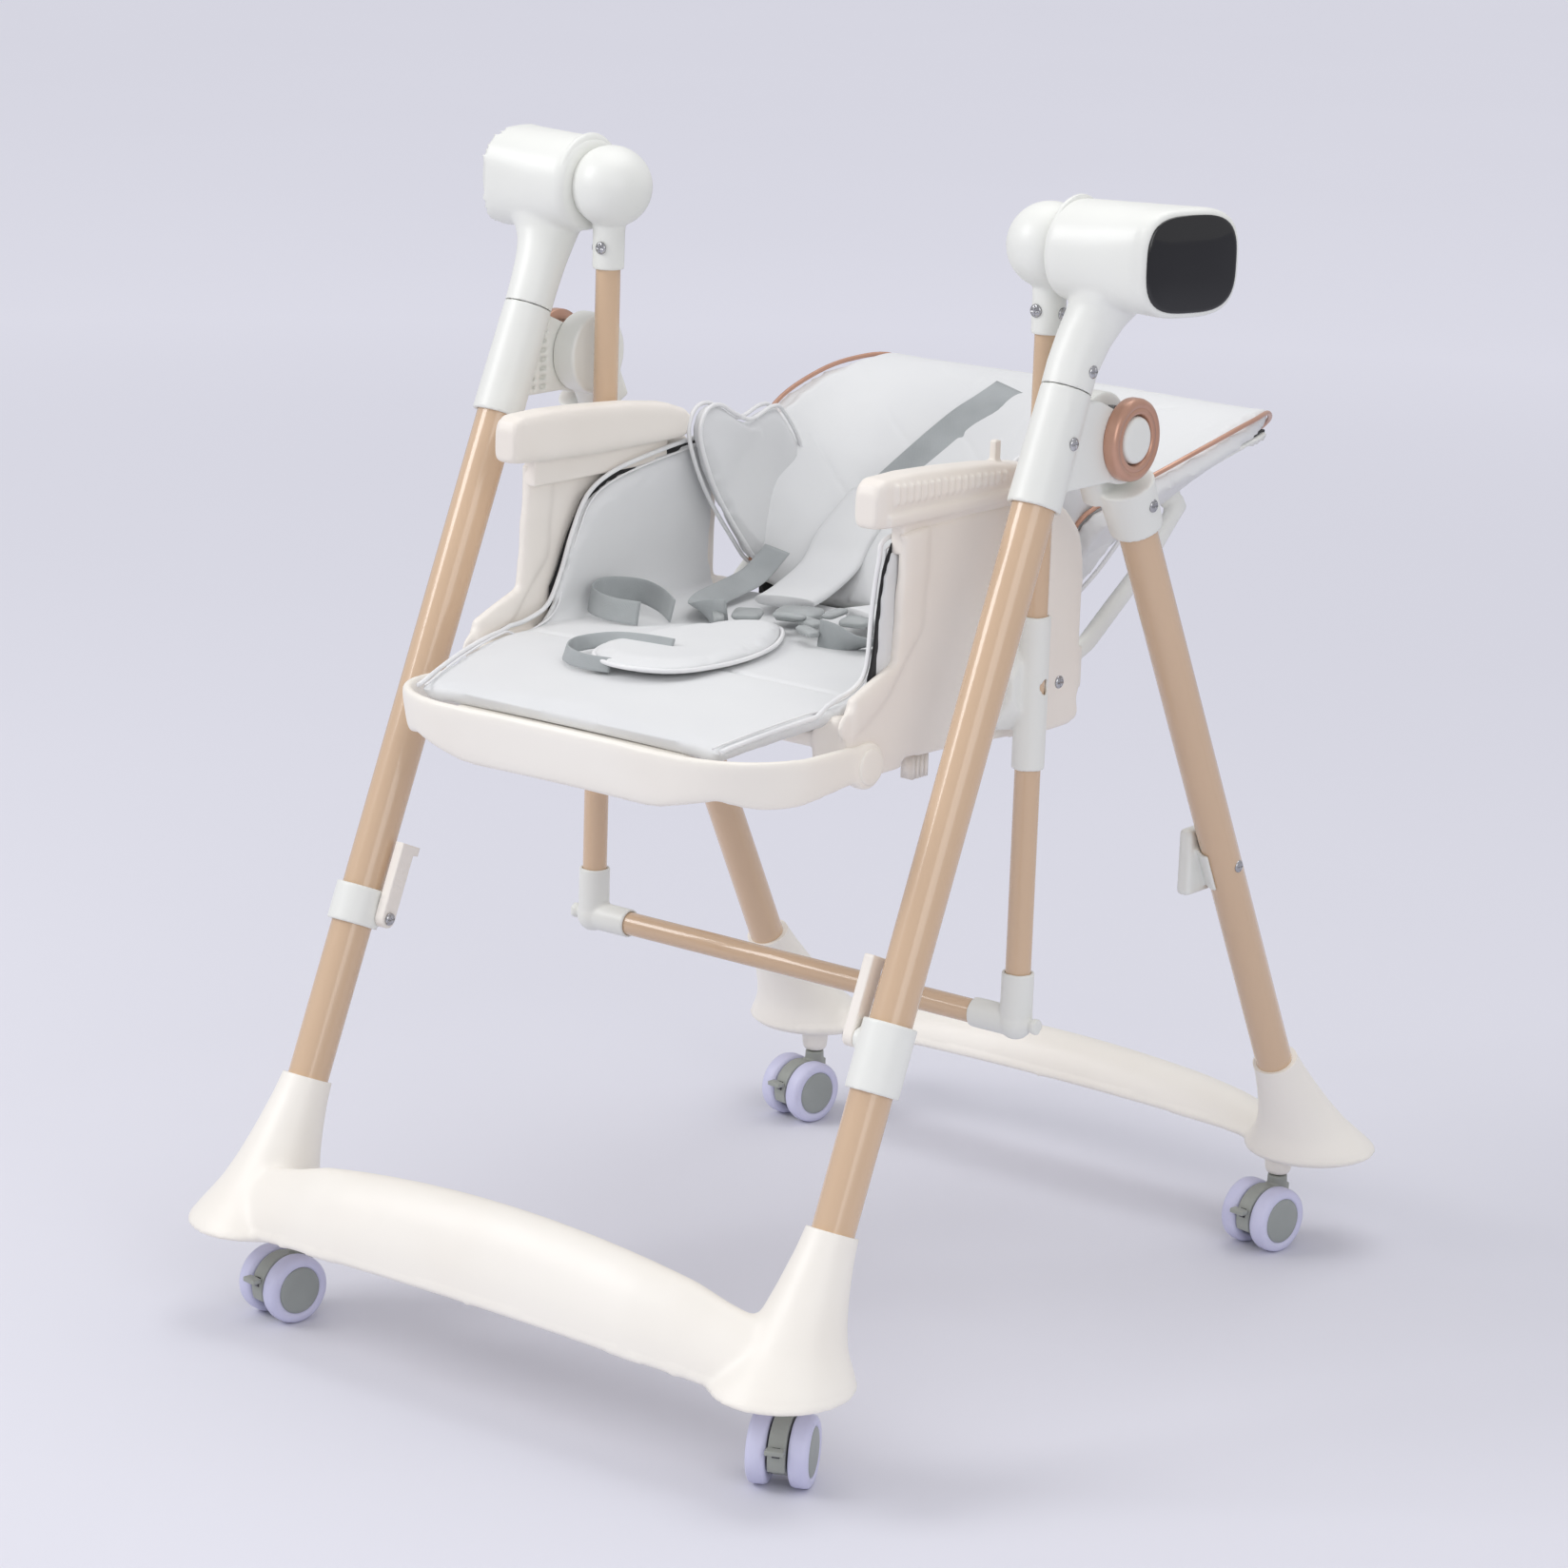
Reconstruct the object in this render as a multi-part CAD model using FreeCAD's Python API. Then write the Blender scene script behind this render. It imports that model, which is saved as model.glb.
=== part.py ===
"""Baby high chair with a swing frame, as an assembly of separate pieces.

Units are millimetres.  +Z is up, the chair faces -Y and X = 0 is its plane of
symmetry.  The origin is on the floor, in the middle of the footprint.
Pieces are drawn for the +X side and mirrored.
"""
import FreeCAD, Part
import math
import os

V = FreeCAD.Vector
X_AXIS = V(1, 0, 0)
Z_AXIS = V(0, 0, 1)

# ---- fits ------------------------------------------------------------------
FIT = 0.1              # radial play of a tube in its socket, same body
RUN = 0.05             # radial play of a pin in its bore
GAP = 0.4              # space between pieces that move past each other
WALL = 3.0             # moulded wall

# ---- frame -----------------------------------------------------------------
FRONT_LEG_X = 287.0
REAR_LEG_X = 292.0
FRONT_TUBE_R = 18.0
REAR_TUBE_R = 16.5
TUBE_WALL = 1.5
HUB_Y = 4.0
HUB_Z = 806.0
FRONT_SLOPE = 0.4234   # dy/dz of the front leg
REAR_SLOPE = 0.517     # -dy/dz of the rear leg, whose line meets the hub
FRONT_LEG_Y_AT_HUB = -80.0
FOOT_Y = 398.0         # foot centre, front and rear
FOOT_R = 60.0
RIM_Z = 88.0           # underside of both bases
FRONT_CONE_Z = 204.0
REAR_CONE_Z = 194.0
FRONT_RIDGE_Z = 176.0  # top of the front bar, in the middle
REAR_RIDGE_Z = 134.0
BAR_DEPTH = 78.0
BAR_ARCH = 10.0        # how far a bar's underside rises in the middle

# ---- hub and head ----------------------------------------------------------
DRUM_R = 38.0
DRUM_X0 = 283.0
DRUM_X1 = 305.0
KNUCKLE_X0 = 258.0
KNUCKLE_R = 36.0
RING_R = 34.5
RING_T = 12.0
BUTTON_R = 20.0
BUTTON_TRAVEL = 4.0
FOLD_PIN_R = 6.0
SLEEVE_Z0 = 760.0
SLEEVE_Z1 = 852.0
SLEEVE_R0 = 22.5
SLEEVE_R1 = 21.0
SWING_Y = -14.0
SWING_Z = 959.0
POD_Z = 962.0
POD_W = 95.0           # along Y
POD_H = 92.0           # along Z
POD_R = 30.0
POD_X0 = 262.0
POD_X_FRONT = 354.0    # slanted outer end: front edge
POD_X_REAR = 387.0     # and rear edge
PANEL_T = 3.0
PANEL_PROUD = 1.0      # how far the panel stands out of the pod
BOARD_T = 1.6
BALL_X = 233.0
BALL_R = 36.0
SWING_PIN_R = 6.0

# ---- swing -----------------------------------------------------------------
ROD_X = 235.0
ROD_R = 11.0
ROD_Z0 = 325.0
ROD_Z1 = 930.0
ROD_SOCKET_R = 14.0
ROD_SOCKET_Z = 886.0
TEE_Z = 294.6
TEE_TOP_Z = 340.0
CROSSBAR_R = 10.5

# ---- seat ------------------------------------------------------------------
SEAT_HALF = 204.0      # outer face of the side panels
PANEL_WALL = 5.0
PAN_Z = 573.0          # top of the seat pan
PAN_T = 5.0
ARM_Z0 = 740.0
ARM_Z1 = 783.0
ARM_X0 = 178.0
ARM_X1 = 206.0
ARM_Y0 = -194.0
ARM_Y1 = 40.0
TOOTH_COUNT = 16
TOOTH_PITCH = 9.0
CLAMP_Z0 = 517.0
CLAMP_Z1 = 651.0
CLAMP_MID_Z = 590.0
CUSHION_T = 22.0
RECLINE_Y = 110.0
RECLINE_Z = 580.0
RECLINE_PIN_R = 5.0
BARREL_R = 9.0
FOOT_PIVOT_Y = -202.0
FOOT_PIVOT_Z = 548.0
FOOT_PIVOT_R = 18.0
BAND_FRONT_Y = -352.0
BAND_T = 8.0
BAND_CORNER_R = 75.0
BAND_Z0 = 530.0
BAND_Z1 = 570.0

# ---- casters ---------------------------------------------------------------
WHEEL_R = 30.0
WHEEL_W = 17.0
CASTER_HALF_W = 26.0
CASTER_X = 270.0
FRONT_STEM_Y = -362.0
REAR_STEM_Y = 376.0
TRAIL = 18.0
STEM_R = 5.5
STEM_TOP_Z = 100.0
BOSS_R = 13.0
BOSS_Z = 66.0
CASTER_TURN = {"front_left": -10.0, "front_right": 25.0, "rear_left": -10.0, "rear_right": -10.0}

# ---- hooks on the front legs -----------------------------------------------
COLLAR_R = 22.5
COLLAR_TOP_Z = 363.0
HOOK_LENGTH = 84.0
HOOK_W = 17.0
HOOK_T = 10.0
HOOK_X1 = 263.5
# The right collar is longer than the left one, and its hook sits higher.
RIGHT_COLLAR_LENGTH = 58.0
LEFT_COLLAR_LENGTH = 34.0
RIGHT_HOOK = (349.0, -6.0)
LEFT_HOOK = (340.0, 8.0)
SCREW_R = 2.5
SCREW_HEAD_R = 4.6
SCREW_HEAD_H = 2.4


# ---- helpers ---------------------------------------------------------------
def cyl(a, b, r):
    """Cylinder from point a to point b."""
    d = b - a
    return Part.makeCylinder(r, d.Length, a, d)


def ring(a, b, outer, inner):
    return cyl(a, b, outer).cut(cyl(a, b, inner))


def xcyl(x0, x1, y, z, r):
    return cyl(V(x0, y, z), V(x1, y, z), r)


def box(x0, x1, y0, y1, z0, z1):
    return Part.makeBox(x1 - x0, y1 - y0, z1 - z0, V(x0, y0, z0))


def soft_box(x0, x1, y0, y1, z0, z1, r):
    b = box(x0, x1, y0, y1, z0, z1)
    return b.makeFillet(r, b.Edges)


def join(*shapes):
    return shapes[0].multiFuse(list(shapes[1:])).removeSplitter()


def mirror(shape):
    return shape.mirror(V(0, 0, 0), X_AXIS)


def circle(centre, normal, r):
    return Part.Wire([Part.makeCircle(r, centre, normal)])


def loft(wires, ruled=False):
    return Part.makeLoft(wires, True, ruled)


def side_plate(points, x0, x1, corner=0.0):
    """Outline of (y, z) points, extruded from x0 to x1, its corners rounded."""
    wire = Part.makePolygon([V(x0, y, z) for y, z in points] + [V(x0, *points[0])])
    solid = Part.Face(wire).extrude(V(x1 - x0, 0, 0))
    if corner:
        edges = [e for e in solid.Edges if abs(e.tangentAt(e.FirstParameter).x) > 0.99]
        solid = solid.makeFillet(corner, edges)
    return solid


def round_rect(centre, u, v, w, h, r):
    """Rounded rectangle w along u and h along v."""
    a, b = w / 2 - r, h / 2 - r
    k = r * (1 - math.sqrt(0.5))
    edges = []
    corners = [(1, 1), (-1, 1), (-1, -1), (1, -1)]

    def at(s, t):
        return centre + u * s + v * t
    for i, (sx, sy) in enumerate(corners):
        p_side = at(sx * w / 2, sy * b)
        p_mid = at(sx * (w / 2 - k), sy * (h / 2 - k))
        p_top = at(sx * a, sy * h / 2)
        first, last = (p_side, p_top) if sx * sy > 0 else (p_top, p_side)
        edges.append(Part.Arc(first, p_mid, last).toShape())
        nx, ny = corners[(i + 1) % 4]
        n_side = at(nx * w / 2, ny * b)
        n_top = at(nx * a, ny * h / 2)
        nxt = n_side if nx * ny > 0 else n_top
        edges.append(Part.LineSegment(last, nxt).toShape())
    return Part.Wire(Part.__sortEdges__(edges))


def save(name, *solids):
    shape = solids[0] if len(solids) == 1 else Part.makeCompound(list(solids))
    shape.exportStep("parts/%s.step" % name)
    print(name, shape.isValid(), len(shape.Solids), round(shape.Volume / 1000.0, 1))


def save_pair(name, shape):
    save(name + "_right", shape)
    save(name + "_left", mirror(shape))


# ---- leg lines -------------------------------------------------------------
def front_leg(z, off=0.0):
    """Point on the front leg's axis; off moves it across, towards +Y."""
    y = FRONT_LEG_Y_AT_HUB + FRONT_SLOPE * (z - HUB_Z)
    return V(FRONT_LEG_X, y + off, z)


def rear_leg(z):
    return V(REAR_LEG_X, HUB_Y + REAR_SLOPE * (HUB_Z - z), z)


FRONT_DIR = V(0, FRONT_SLOPE, 1).normalize()
REAR_DIR = V(0, -REAR_SLOPE, 1).normalize()


def rear_at(distance):
    """Point on the rear leg's axis, a distance below the hub's axis."""
    return V(REAR_LEG_X, HUB_Y, HUB_Z) - REAR_DIR * distance


# ---- bases -----------------------------------------------------------------
# Share of the way down the cone, and share of the flare that is reached there.
FLARE = [(0.0, 0.0), (0.35, 0.17), (0.6, 0.36), (0.8, 0.62), (0.94, 0.92), (1.0, 1.0)]


def cone(axis_point, direction, foot_y, top_r, top_z, inset):
    """Flared socket from the leg down to its round foot."""
    wires = []
    for way, flare in FLARE:
        z = top_z + (RIM_Z - top_z) * way
        at = axis_point(z)
        leg_foot = axis_point(RIM_Z)
        at.y += (foot_y - leg_foot.y) * way
        tilt = direction * (1 - way) + Z_AXIS * way
        r = top_r + (FOOT_R - top_r) * flare - inset
        wires.append(circle(at, tilt, r))
    return loft(wires)


def bar(sign, ridge_z, inset):
    """Saddle-shaped bar between two feet, closed at z = its underside."""
    wires = []
    half = FRONT_LEG_X - inset
    for share in (-1.0, -0.72, -0.36, 0.0, 0.36, 0.72, 1.0):
        x = half * share
        low = RIM_Z + BAR_ARCH * (1 - share * share) - (1.0 if inset else 0.0)
        dip = 22.0 * min(1.0, (share / 0.72) ** 2)
        high = ridge_z - dip - inset
        out = sign * (FOOT_Y + 52.0 - inset)
        back = sign * (FOOT_Y + 52.0 - BAR_DEPTH + inset)
        ridge = sign * (FOOT_Y + 8.0)
        step = (high - low)
        pts = [V(x, out, low), V(x, out - sign * 6, low + step * 0.35),
               V(x, ridge + sign * 20, low + step * 0.82), V(x, ridge, high),
               V(x, ridge - sign * 18, low + step * 0.82),
               V(x, back + sign * 4, low + step * 0.35), V(x, back, low)]
        curve = Part.BSplineCurve()
        curve.interpolate(pts)
        base = Part.LineSegment(pts[-1], pts[0])
        wires.append(Part.Wire([curve.toShape(), base.toShape()]))
    return loft(wires)


def base(sign, axis_point, direction, tube_r, top_z, ridge_z, stem_y):
    """Moulded shell, open underneath, with leg sockets, ribs and caster bosses."""
    foot_y = sign * FOOT_Y
    top_r = tube_r + WALL
    low = RIM_Z + 12
    rib_z = RIM_Z + 5

    def both(shape):
        return [shape, mirror(shape)]
    skin = join(bar(sign, ridge_z, 0.0), *both(cone(axis_point, direction, foot_y, top_r, top_z, 0.0)))
    core = cone(axis_point, direction, foot_y, top_r, top_z, WALL)
    core = core.common(box(0, 400, -600, 600, 0, top_z - 30))
    plug = Part.makeCylinder(FOOT_R - WALL - 0.6, 5, V(FRONT_LEG_X, foot_y, RIM_Z - 2))
    hollow = join(bar(sign, ridge_z, WALL), *both(join(core, plug)))
    socket = cyl(axis_point(low), axis_point(top_z - 10), top_r)
    boss = cyl(V(CASTER_X, stem_y, RIM_Z - 2), V(CASTER_X, stem_y, STEM_TOP_Z + 3), BOSS_R)
    rib_x = box(CASTER_X - 60, CASTER_X + 60, stem_y - 1.5, stem_y + 1.5, rib_z, top_z)
    rib_y = box(FRONT_LEG_X - 1.5, FRONT_LEG_X + 1.5, foot_y - 70, foot_y + 70, rib_z, top_z)
    keep = join(socket, boss, rib_x, rib_y).common(skin)
    lug = cyl(V(CASTER_X, stem_y, BOSS_Z), V(CASTER_X, stem_y, RIM_Z + 4), BOSS_R)
    leg_bore = cyl(axis_point(low + 4), axis_point(top_z + 30), tube_r + FIT)
    stem_bore = cyl(V(CASTER_X, stem_y, BOSS_Z - 1), V(CASTER_X, stem_y, STEM_TOP_Z), STEM_R + RUN)
    shell = skin.cut(hollow)
    for add in both(keep) + both(lug):
        shell = shell.fuse(add)
    for bore in both(leg_bore) + both(stem_bore):
        shell = shell.cut(bore)
    return shell


# ---- casters ---------------------------------------------------------------
def caster(stem_x, stem_y, turn):
    """Housing with stem, wheel pair with axle, and brake, for one caster.

    Drawn with the axle TRAIL in front of the stem, then turned about the stem.
    """
    ay = -TRAIL
    w_in = CASTER_HALF_W - WHEEL_W
    core = xcyl(-w_in + 1, w_in - 1, ay, WHEEL_R, 24.0)
    hood_out = xcyl(-w_in + 1, w_in - 1, ay, WHEEL_R, 27.0)
    hood = hood_out.common(box(-30, 30, ay - 40, 40, WHEEL_R - 12, 80))
    neck = cyl(V(0, 0, 34), V(0, 0, BOSS_Z - GAP), 9.0)
    slot = box(-4.5, 4.5, ay - 40, ay - 12, WHEEL_R - 4, WHEEL_R + 14)
    stem = cyl(V(0, 0, 50), V(0, 0, STEM_TOP_Z - 1), STEM_R)
    housing = join(core, hood, neck, stem)
    housing = housing.cut(slot).cut(xcyl(-30, 30, ay, WHEEL_R, 4.0 + RUN))
    wheel = xcyl(w_in, CASTER_HALF_W, ay, WHEEL_R, WHEEL_R)
    wheel = wheel.makeFillet(4.0, [e for e in wheel.Edges if abs(e.Length - 2 * math.pi * WHEEL_R) < 0.5])
    groove = ring(V(CASTER_HALF_W - 1.2, ay, WHEEL_R), V(CASTER_HALF_W + 1, ay, WHEEL_R), 22.5, 21.5)
    wheel = wheel.cut(groove)
    axle = xcyl(-CASTER_HALF_W + 3, CASTER_HALF_W - 3, ay, WHEEL_R, 4.0)
    wheels = join(wheel, mirror(wheel), axle)
    py, pz = ay - 17.0, WHEEL_R + 5.0
    hub = xcyl(-4.2, 4.2, py, pz, 3.5)
    tab = box(-4.2, 4.2, py - 15, py - 2, pz + 1.5, pz + 5.5)
    pad = box(-7.5, 7.5, py - 19, py - 13, pz + 0.5, pz + 6.5)
    brake = join(hub, tab, pad).cut(xcyl(-6, 6, py, pz, 1.5 + RUN))
    pin = xcyl(-6, 6, py, pz, 1.5)
    housing = housing.cut(xcyl(-4.6, 4.6, py, pz, 4.0)).fuse(pin)
    out = []
    for s in (housing, wheels, brake):
        s = s.copy()
        s.rotate(V(0, 0, 0), Z_AXIS, turn)
        s.translate(V(stem_x, stem_y, 0))
        out.append(s)
    return out


# ---- upper frame -----------------------------------------------------------
def upper_sleeve():
    a, b = front_leg(SLEEVE_Z0), front_leg(SLEEVE_Z1)
    body = loft([circle(a, FRONT_DIR, SLEEVE_R0), circle(b, FRONT_DIR, SLEEVE_R1)])
    drum = xcyl(DRUM_X0, DRUM_X1, HUB_Y, HUB_Z, DRUM_R)
    arm = box(DRUM_X0, DRUM_X1, FRONT_LEG_Y_AT_HUB, HUB_Y, HUB_Z - 34, HUB_Z + 36)
    body = join(body, drum, arm)
    body = body.cut(cyl(front_leg(SLEEVE_Z0 - 20), front_leg(SLEEVE_Z1 - 6), FRONT_TUBE_R + FIT))
    body = body.cut(xcyl(DRUM_X0 + 4, DRUM_X1 + 1, HUB_Y, HUB_Z, 26.0))
    body = body.cut(xcyl(DRUM_X0 - 1, DRUM_X1, HUB_Y, HUB_Z, FOLD_PIN_R + FIT))
    for row_y, length in ((-57.0, 7.0), (-47.0, 12.0)):
        for i in range(8):
            z = HUB_Z - 30 + i * 8.2
            body = body.cut(box(DRUM_X0 - 1, DRUM_X0 + 6, row_y, row_y + length - 2, z, z + 4.2))
    return body


def head_housing():
    """Neck and pod: one moulded shell, open at both ends."""
    u, v = V(0, 1, 0), Z_AXIS

    def pod(inset, x0, x1):
        w = round_rect(V(x0, SWING_Y, POD_Z), u, v, POD_W - 2 * inset, POD_H - 2 * inset, POD_R - inset)
        return Part.Face(w).extrude(V(x1 - x0, 0, 0))
    far = POD_X_REAR + 20
    body = pod(0.0, POD_X0, far)
    a = front_leg(SLEEVE_Z1 + 0.2)
    b = front_leg(890.0)
    c = V(FRONT_LEG_X + 4, -32, 918)
    d = V(FRONT_LEG_X + 12, -26, 940)
    neck = loft([circle(a, FRONT_DIR, SLEEVE_R1), circle(b, FRONT_DIR, SLEEVE_R1 + 0.5),
                 circle(c, Z_AXIS, 27.0), circle(d, Z_AXIS, 36.0)])
    body = join(body, neck)
    body = body.cut(pod(WALL, POD_X0 + WALL, far + 1))
    body = body.cut(slant_cutter())
    body = body.cut(xcyl(POD_X0 - 1, POD_X0 + 5, SWING_Y, SWING_Z, 24.0))
    for x in (276.0, 312.0):
        web = pod(WALL - 0.5, x, x + 9).cut(xcyl(x - 1, x + 10, SWING_Y, SWING_Z, 14.0 + FIT))
        body = body.fuse(web)
    return body.removeSplitter()


SLANT = math.atan2(POD_X_REAR - POD_X_FRONT, POD_W)
SLANT_NORMAL = V(math.cos(SLANT), -math.sin(SLANT), 0)
SLANT_U = V(math.sin(SLANT), math.cos(SLANT), 0)
SLANT_MID = V((POD_X_FRONT + POD_X_REAR) / 2, SWING_Y, POD_Z)


def slant_cutter(shift=0.0):
    """Everything beyond the slanted outer end of a pod."""
    origin = SLANT_MID + SLANT_NORMAL * shift
    w = round_rect(origin, SLANT_U, Z_AXIS, 300, 300, 1)
    return Part.Face(w).extrude(SLANT_NORMAL * 200)


def pod_slice(front, back):
    """Slice of the pod's inside, parallel to its slanted end."""
    w = round_rect(V(300, SWING_Y, POD_Z), V(0, 1, 0), Z_AXIS, POD_W - 2 * (WALL + FIT),
                   POD_H - 2 * (WALL + FIT), POD_R - WALL - FIT)
    core = Part.Face(w).extrude(V(150, 0, 0))
    return core.cut(slant_cutter(front)).common(slant_cutter(back))


def inner_cover():
    w = round_rect(V(POD_X0 - 8, SWING_Y, POD_Z), V(0, 1, 0), Z_AXIS, POD_W - 4, POD_H - 4, POD_R - 2)
    body = Part.Face(w).extrude(V(8, 0, 0))
    body = body.makeFillet(3.0, [e for e in body.Edges if e.BoundBox.XMax < POD_X0 - 7.9])
    return body.cut(xcyl(POD_X0 - 9, POD_X0 + 1, SWING_Y, SWING_Z, 32.0))


def rear_knuckle():
    disc = xcyl(KNUCKLE_X0, DRUM_X0 - GAP, HUB_Y, HUB_Z, KNUCKLE_R)
    a, b = rear_at(46.0), rear_at(92.0)
    sleeve = loft([circle(a, REAR_DIR, 25.0), circle(b, REAR_DIR, 22.5)])
    web = cyl(V(272, 0, 0) + V(0, rear_at(30).y, rear_at(30).z), V(272, rear_at(58).y, rear_at(58).z), 24.0)
    web = web.common(box(KNUCKLE_X0 + 2, DRUM_X0 - GAP, -100, 200, 600, 900))
    body = join(disc, sleeve, web)
    body = body.cut(cyl(rear_at(100), rear_at(52), REAR_TUBE_R + FIT))
    return body.cut(xcyl(KNUCKLE_X0 - 1, DRUM_X0, HUB_Y, HUB_Z, FOLD_PIN_R + RUN))


def button():
    face_x = DRUM_X1 + RING_T + 1
    body = xcyl(DRUM_X1 - 4, face_x, HUB_Y, HUB_Z, BUTTON_R)
    edge = [e for e in body.Edges if e.BoundBox.XMin > face_x - 0.1]
    return body.makeFillet(3.5, edge)


def lock_gear():
    """Toothed disc that holds the fold, behind the button."""
    body = xcyl(DRUM_X0 + 4, DRUM_X0 + 10, HUB_Y, HUB_Z, 22.0)
    for i in range(12):
        tooth = box(DRUM_X0 + 4, DRUM_X0 + 10, HUB_Y - 2, HUB_Y + 2, HUB_Z + 20, HUB_Z + 25.9)
        tooth.rotate(V(0, HUB_Y, HUB_Z), X_AXIS, i * 30)
        body = body.fuse(tooth)
    return body.cut(xcyl(DRUM_X0, DRUM_X0 + 12, HUB_Y, HUB_Z, FOLD_PIN_R + FIT)).removeSplitter()


def hub_ring():
    body = xcyl(DRUM_X1, DRUM_X1 + RING_T, HUB_Y, HUB_Z, RING_R)
    body = body.makeFillet(5.0, [e for e in body.Edges if e.BoundBox.XMin > DRUM_X1 + 1])
    return body.cut(xcyl(DRUM_X1 - 1, DRUM_X1 + 20, HUB_Y, HUB_Z, BUTTON_R + GAP))


def screw(at, direction, length, play=0.0):
    """Pan-head screw whose head sits on 'at'; with play, the hole that takes it."""
    d = V(direction).normalize()
    head_h = 8.0 if play else SCREW_HEAD_H
    return join(cyl(at, at + d * head_h, SCREW_HEAD_R + play), cyl(at - d * (length + play), at + d * 0.5, SCREW_R + play))


# ---- hooks on the front legs -----------------------------------------------
def collar(length, boss_z, boss_off):
    top = front_leg(COLLAR_TOP_Z)
    low = top - FRONT_DIR * length
    p = front_leg(boss_z, boss_off)
    body = join(cyl(low, top, COLLAR_R), xcyl(HOOK_X1 + GAP, FRONT_LEG_X, p.y, p.z, 9.0))
    bore = cyl(low - FRONT_DIR, top + FRONT_DIR, FRONT_TUBE_R + FIT)
    return body.cut(bore)


def hook(boss_z, boss_off):
    """Flat lever that stands up along the leg, with a bent-over tip."""
    p = front_leg(boss_z, boss_off)
    p.x = HOOK_X1 - HOOK_T
    half = HOOK_W / 2
    eye = cyl(p, p + V(HOOK_T, 0, 0), half)
    across = V(0, FRONT_DIR.z, -FRONT_DIR.y)
    long = HOOK_LENGTH - 2 * half

    def slab(s0, s1, t0, t1):
        pts = [p + FRONT_DIR * s + across * t for s, t in ((s0, t0), (s1, t0), (s1, t1), (s0, t1))]
        return Part.Face(Part.makePolygon(pts + [pts[0]])).extrude(V(HOOK_T, 0, 0))
    body = join(eye, slab(0, long, -half, half), slab(long - 8, long, half - 1, half + 6))
    for i in range(4):
        t = -half + 3 + i * 3.6
        body = body.cut(slab(22, long - 14, t, t + 1.6).common(box(0, HOOK_X1 - HOOK_T + 1.5, -900, 900, 0, 900)))
    return body.cut(cyl(p - V(5, 0, 0), p + V(30, 0, 0), 3.0 + RUN))


def hook_pin(boss_z, boss_off, play=0.0):
    p = front_leg(boss_z, boss_off)
    x0 = HOOK_X1 - HOOK_T
    reach = FRONT_LEG_X - FRONT_TUBE_R - 1.5
    shank = xcyl(x0 - 1, reach + play, p.y, p.z, 3.0 + play)
    return shank if play else join(xcyl(x0 - 2.4, x0 - GAP, p.y, p.z, 5.5), shank)


# ---- swing frame -----------------------------------------------------------
def pivot_ball():
    ball = Part.makeSphere(BALL_R, V(BALL_X, SWING_Y, SWING_Z))
    socket = cyl(V(ROD_X, SWING_Y, ROD_SOCKET_Z), V(ROD_X, SWING_Y, SWING_Z), ROD_SOCKET_R)
    body = join(ball, socket)
    body = body.cut(cyl(V(ROD_X, SWING_Y, 800), V(ROD_X, SWING_Y, ROD_Z1), ROD_R + FIT))
    return body.cut(xcyl(ROD_X - 4, 300, SWING_Y, SWING_Z, SWING_PIN_R + FIT))


def tee():
    up = cyl(V(ROD_X, SWING_Y, TEE_Z), V(ROD_X, SWING_Y, TEE_TOP_Z), ROD_SOCKET_R)
    knee = Part.makeSphere(ROD_SOCKET_R + 1, V(ROD_X, SWING_Y, TEE_Z))
    in_x = ROD_X - 44
    across = xcyl(in_x, ROD_X, SWING_Y, TEE_Z, CROSSBAR_R + 2.5)
    knob = join(xcyl(ROD_X, ROD_X + 22, SWING_Y, TEE_Z, 5.0), xcyl(ROD_X + 18, ROD_X + 23, SWING_Y, TEE_Z, 7.0))
    body = join(up, knee, across, knob)
    body = body.cut(cyl(V(ROD_X, SWING_Y, ROD_Z0), V(ROD_X, SWING_Y, 400), ROD_R + FIT))
    return body.cut(xcyl(in_x - 1, ROD_X - 16, SWING_Y, TEE_Z, CROSSBAR_R + FIT))


# ---- seat ------------------------------------------------------------------
# Side panel, front top corner first, then down the front and round the back.
PANEL = [(-165, ARM_Z0), (-152, 700), (-154, 655), (-168, 628), (-200, 609), (-236, 597), (-240, 580),
         (-190, 572), (-172, 556), (-150, 545), (-20, 538), (96, 526), (106, 560), (106, 640),
         (98, 690), (76, 724), (40, ARM_Z0)]


def seat_shell():
    x1, x0 = SEAT_HALF, SEAT_HALF - PANEL_WALL
    side = side_plate(PANEL, x0, x1)
    pan = box(-x0 - 1, x0 + 1, FOOT_PIVOT_Y + 1, 88, PAN_Z - PAN_T, PAN_Z)
    apron = box(-x0 - 1, x0 + 1, 84, 88, PAN_Z - 30, PAN_Z)
    block = box(180, 195, -228, -165, 532, PAN_Z)
    lug = box(167, x0 + 1, 84, 126, 562, 598)
    pieces = [side, block, lug]
    body = join(pan, apron, *(pieces + [mirror(p) for p in pieces]))
    body = body.cut(xcyl(-190, 190, RECLINE_Y, RECLINE_Z, RECLINE_PIN_R + FIT))
    return body.cut(xcyl(-300, 300, FOOT_PIVOT_Y, FOOT_PIVOT_Z, 5.0 + FIT))


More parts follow.
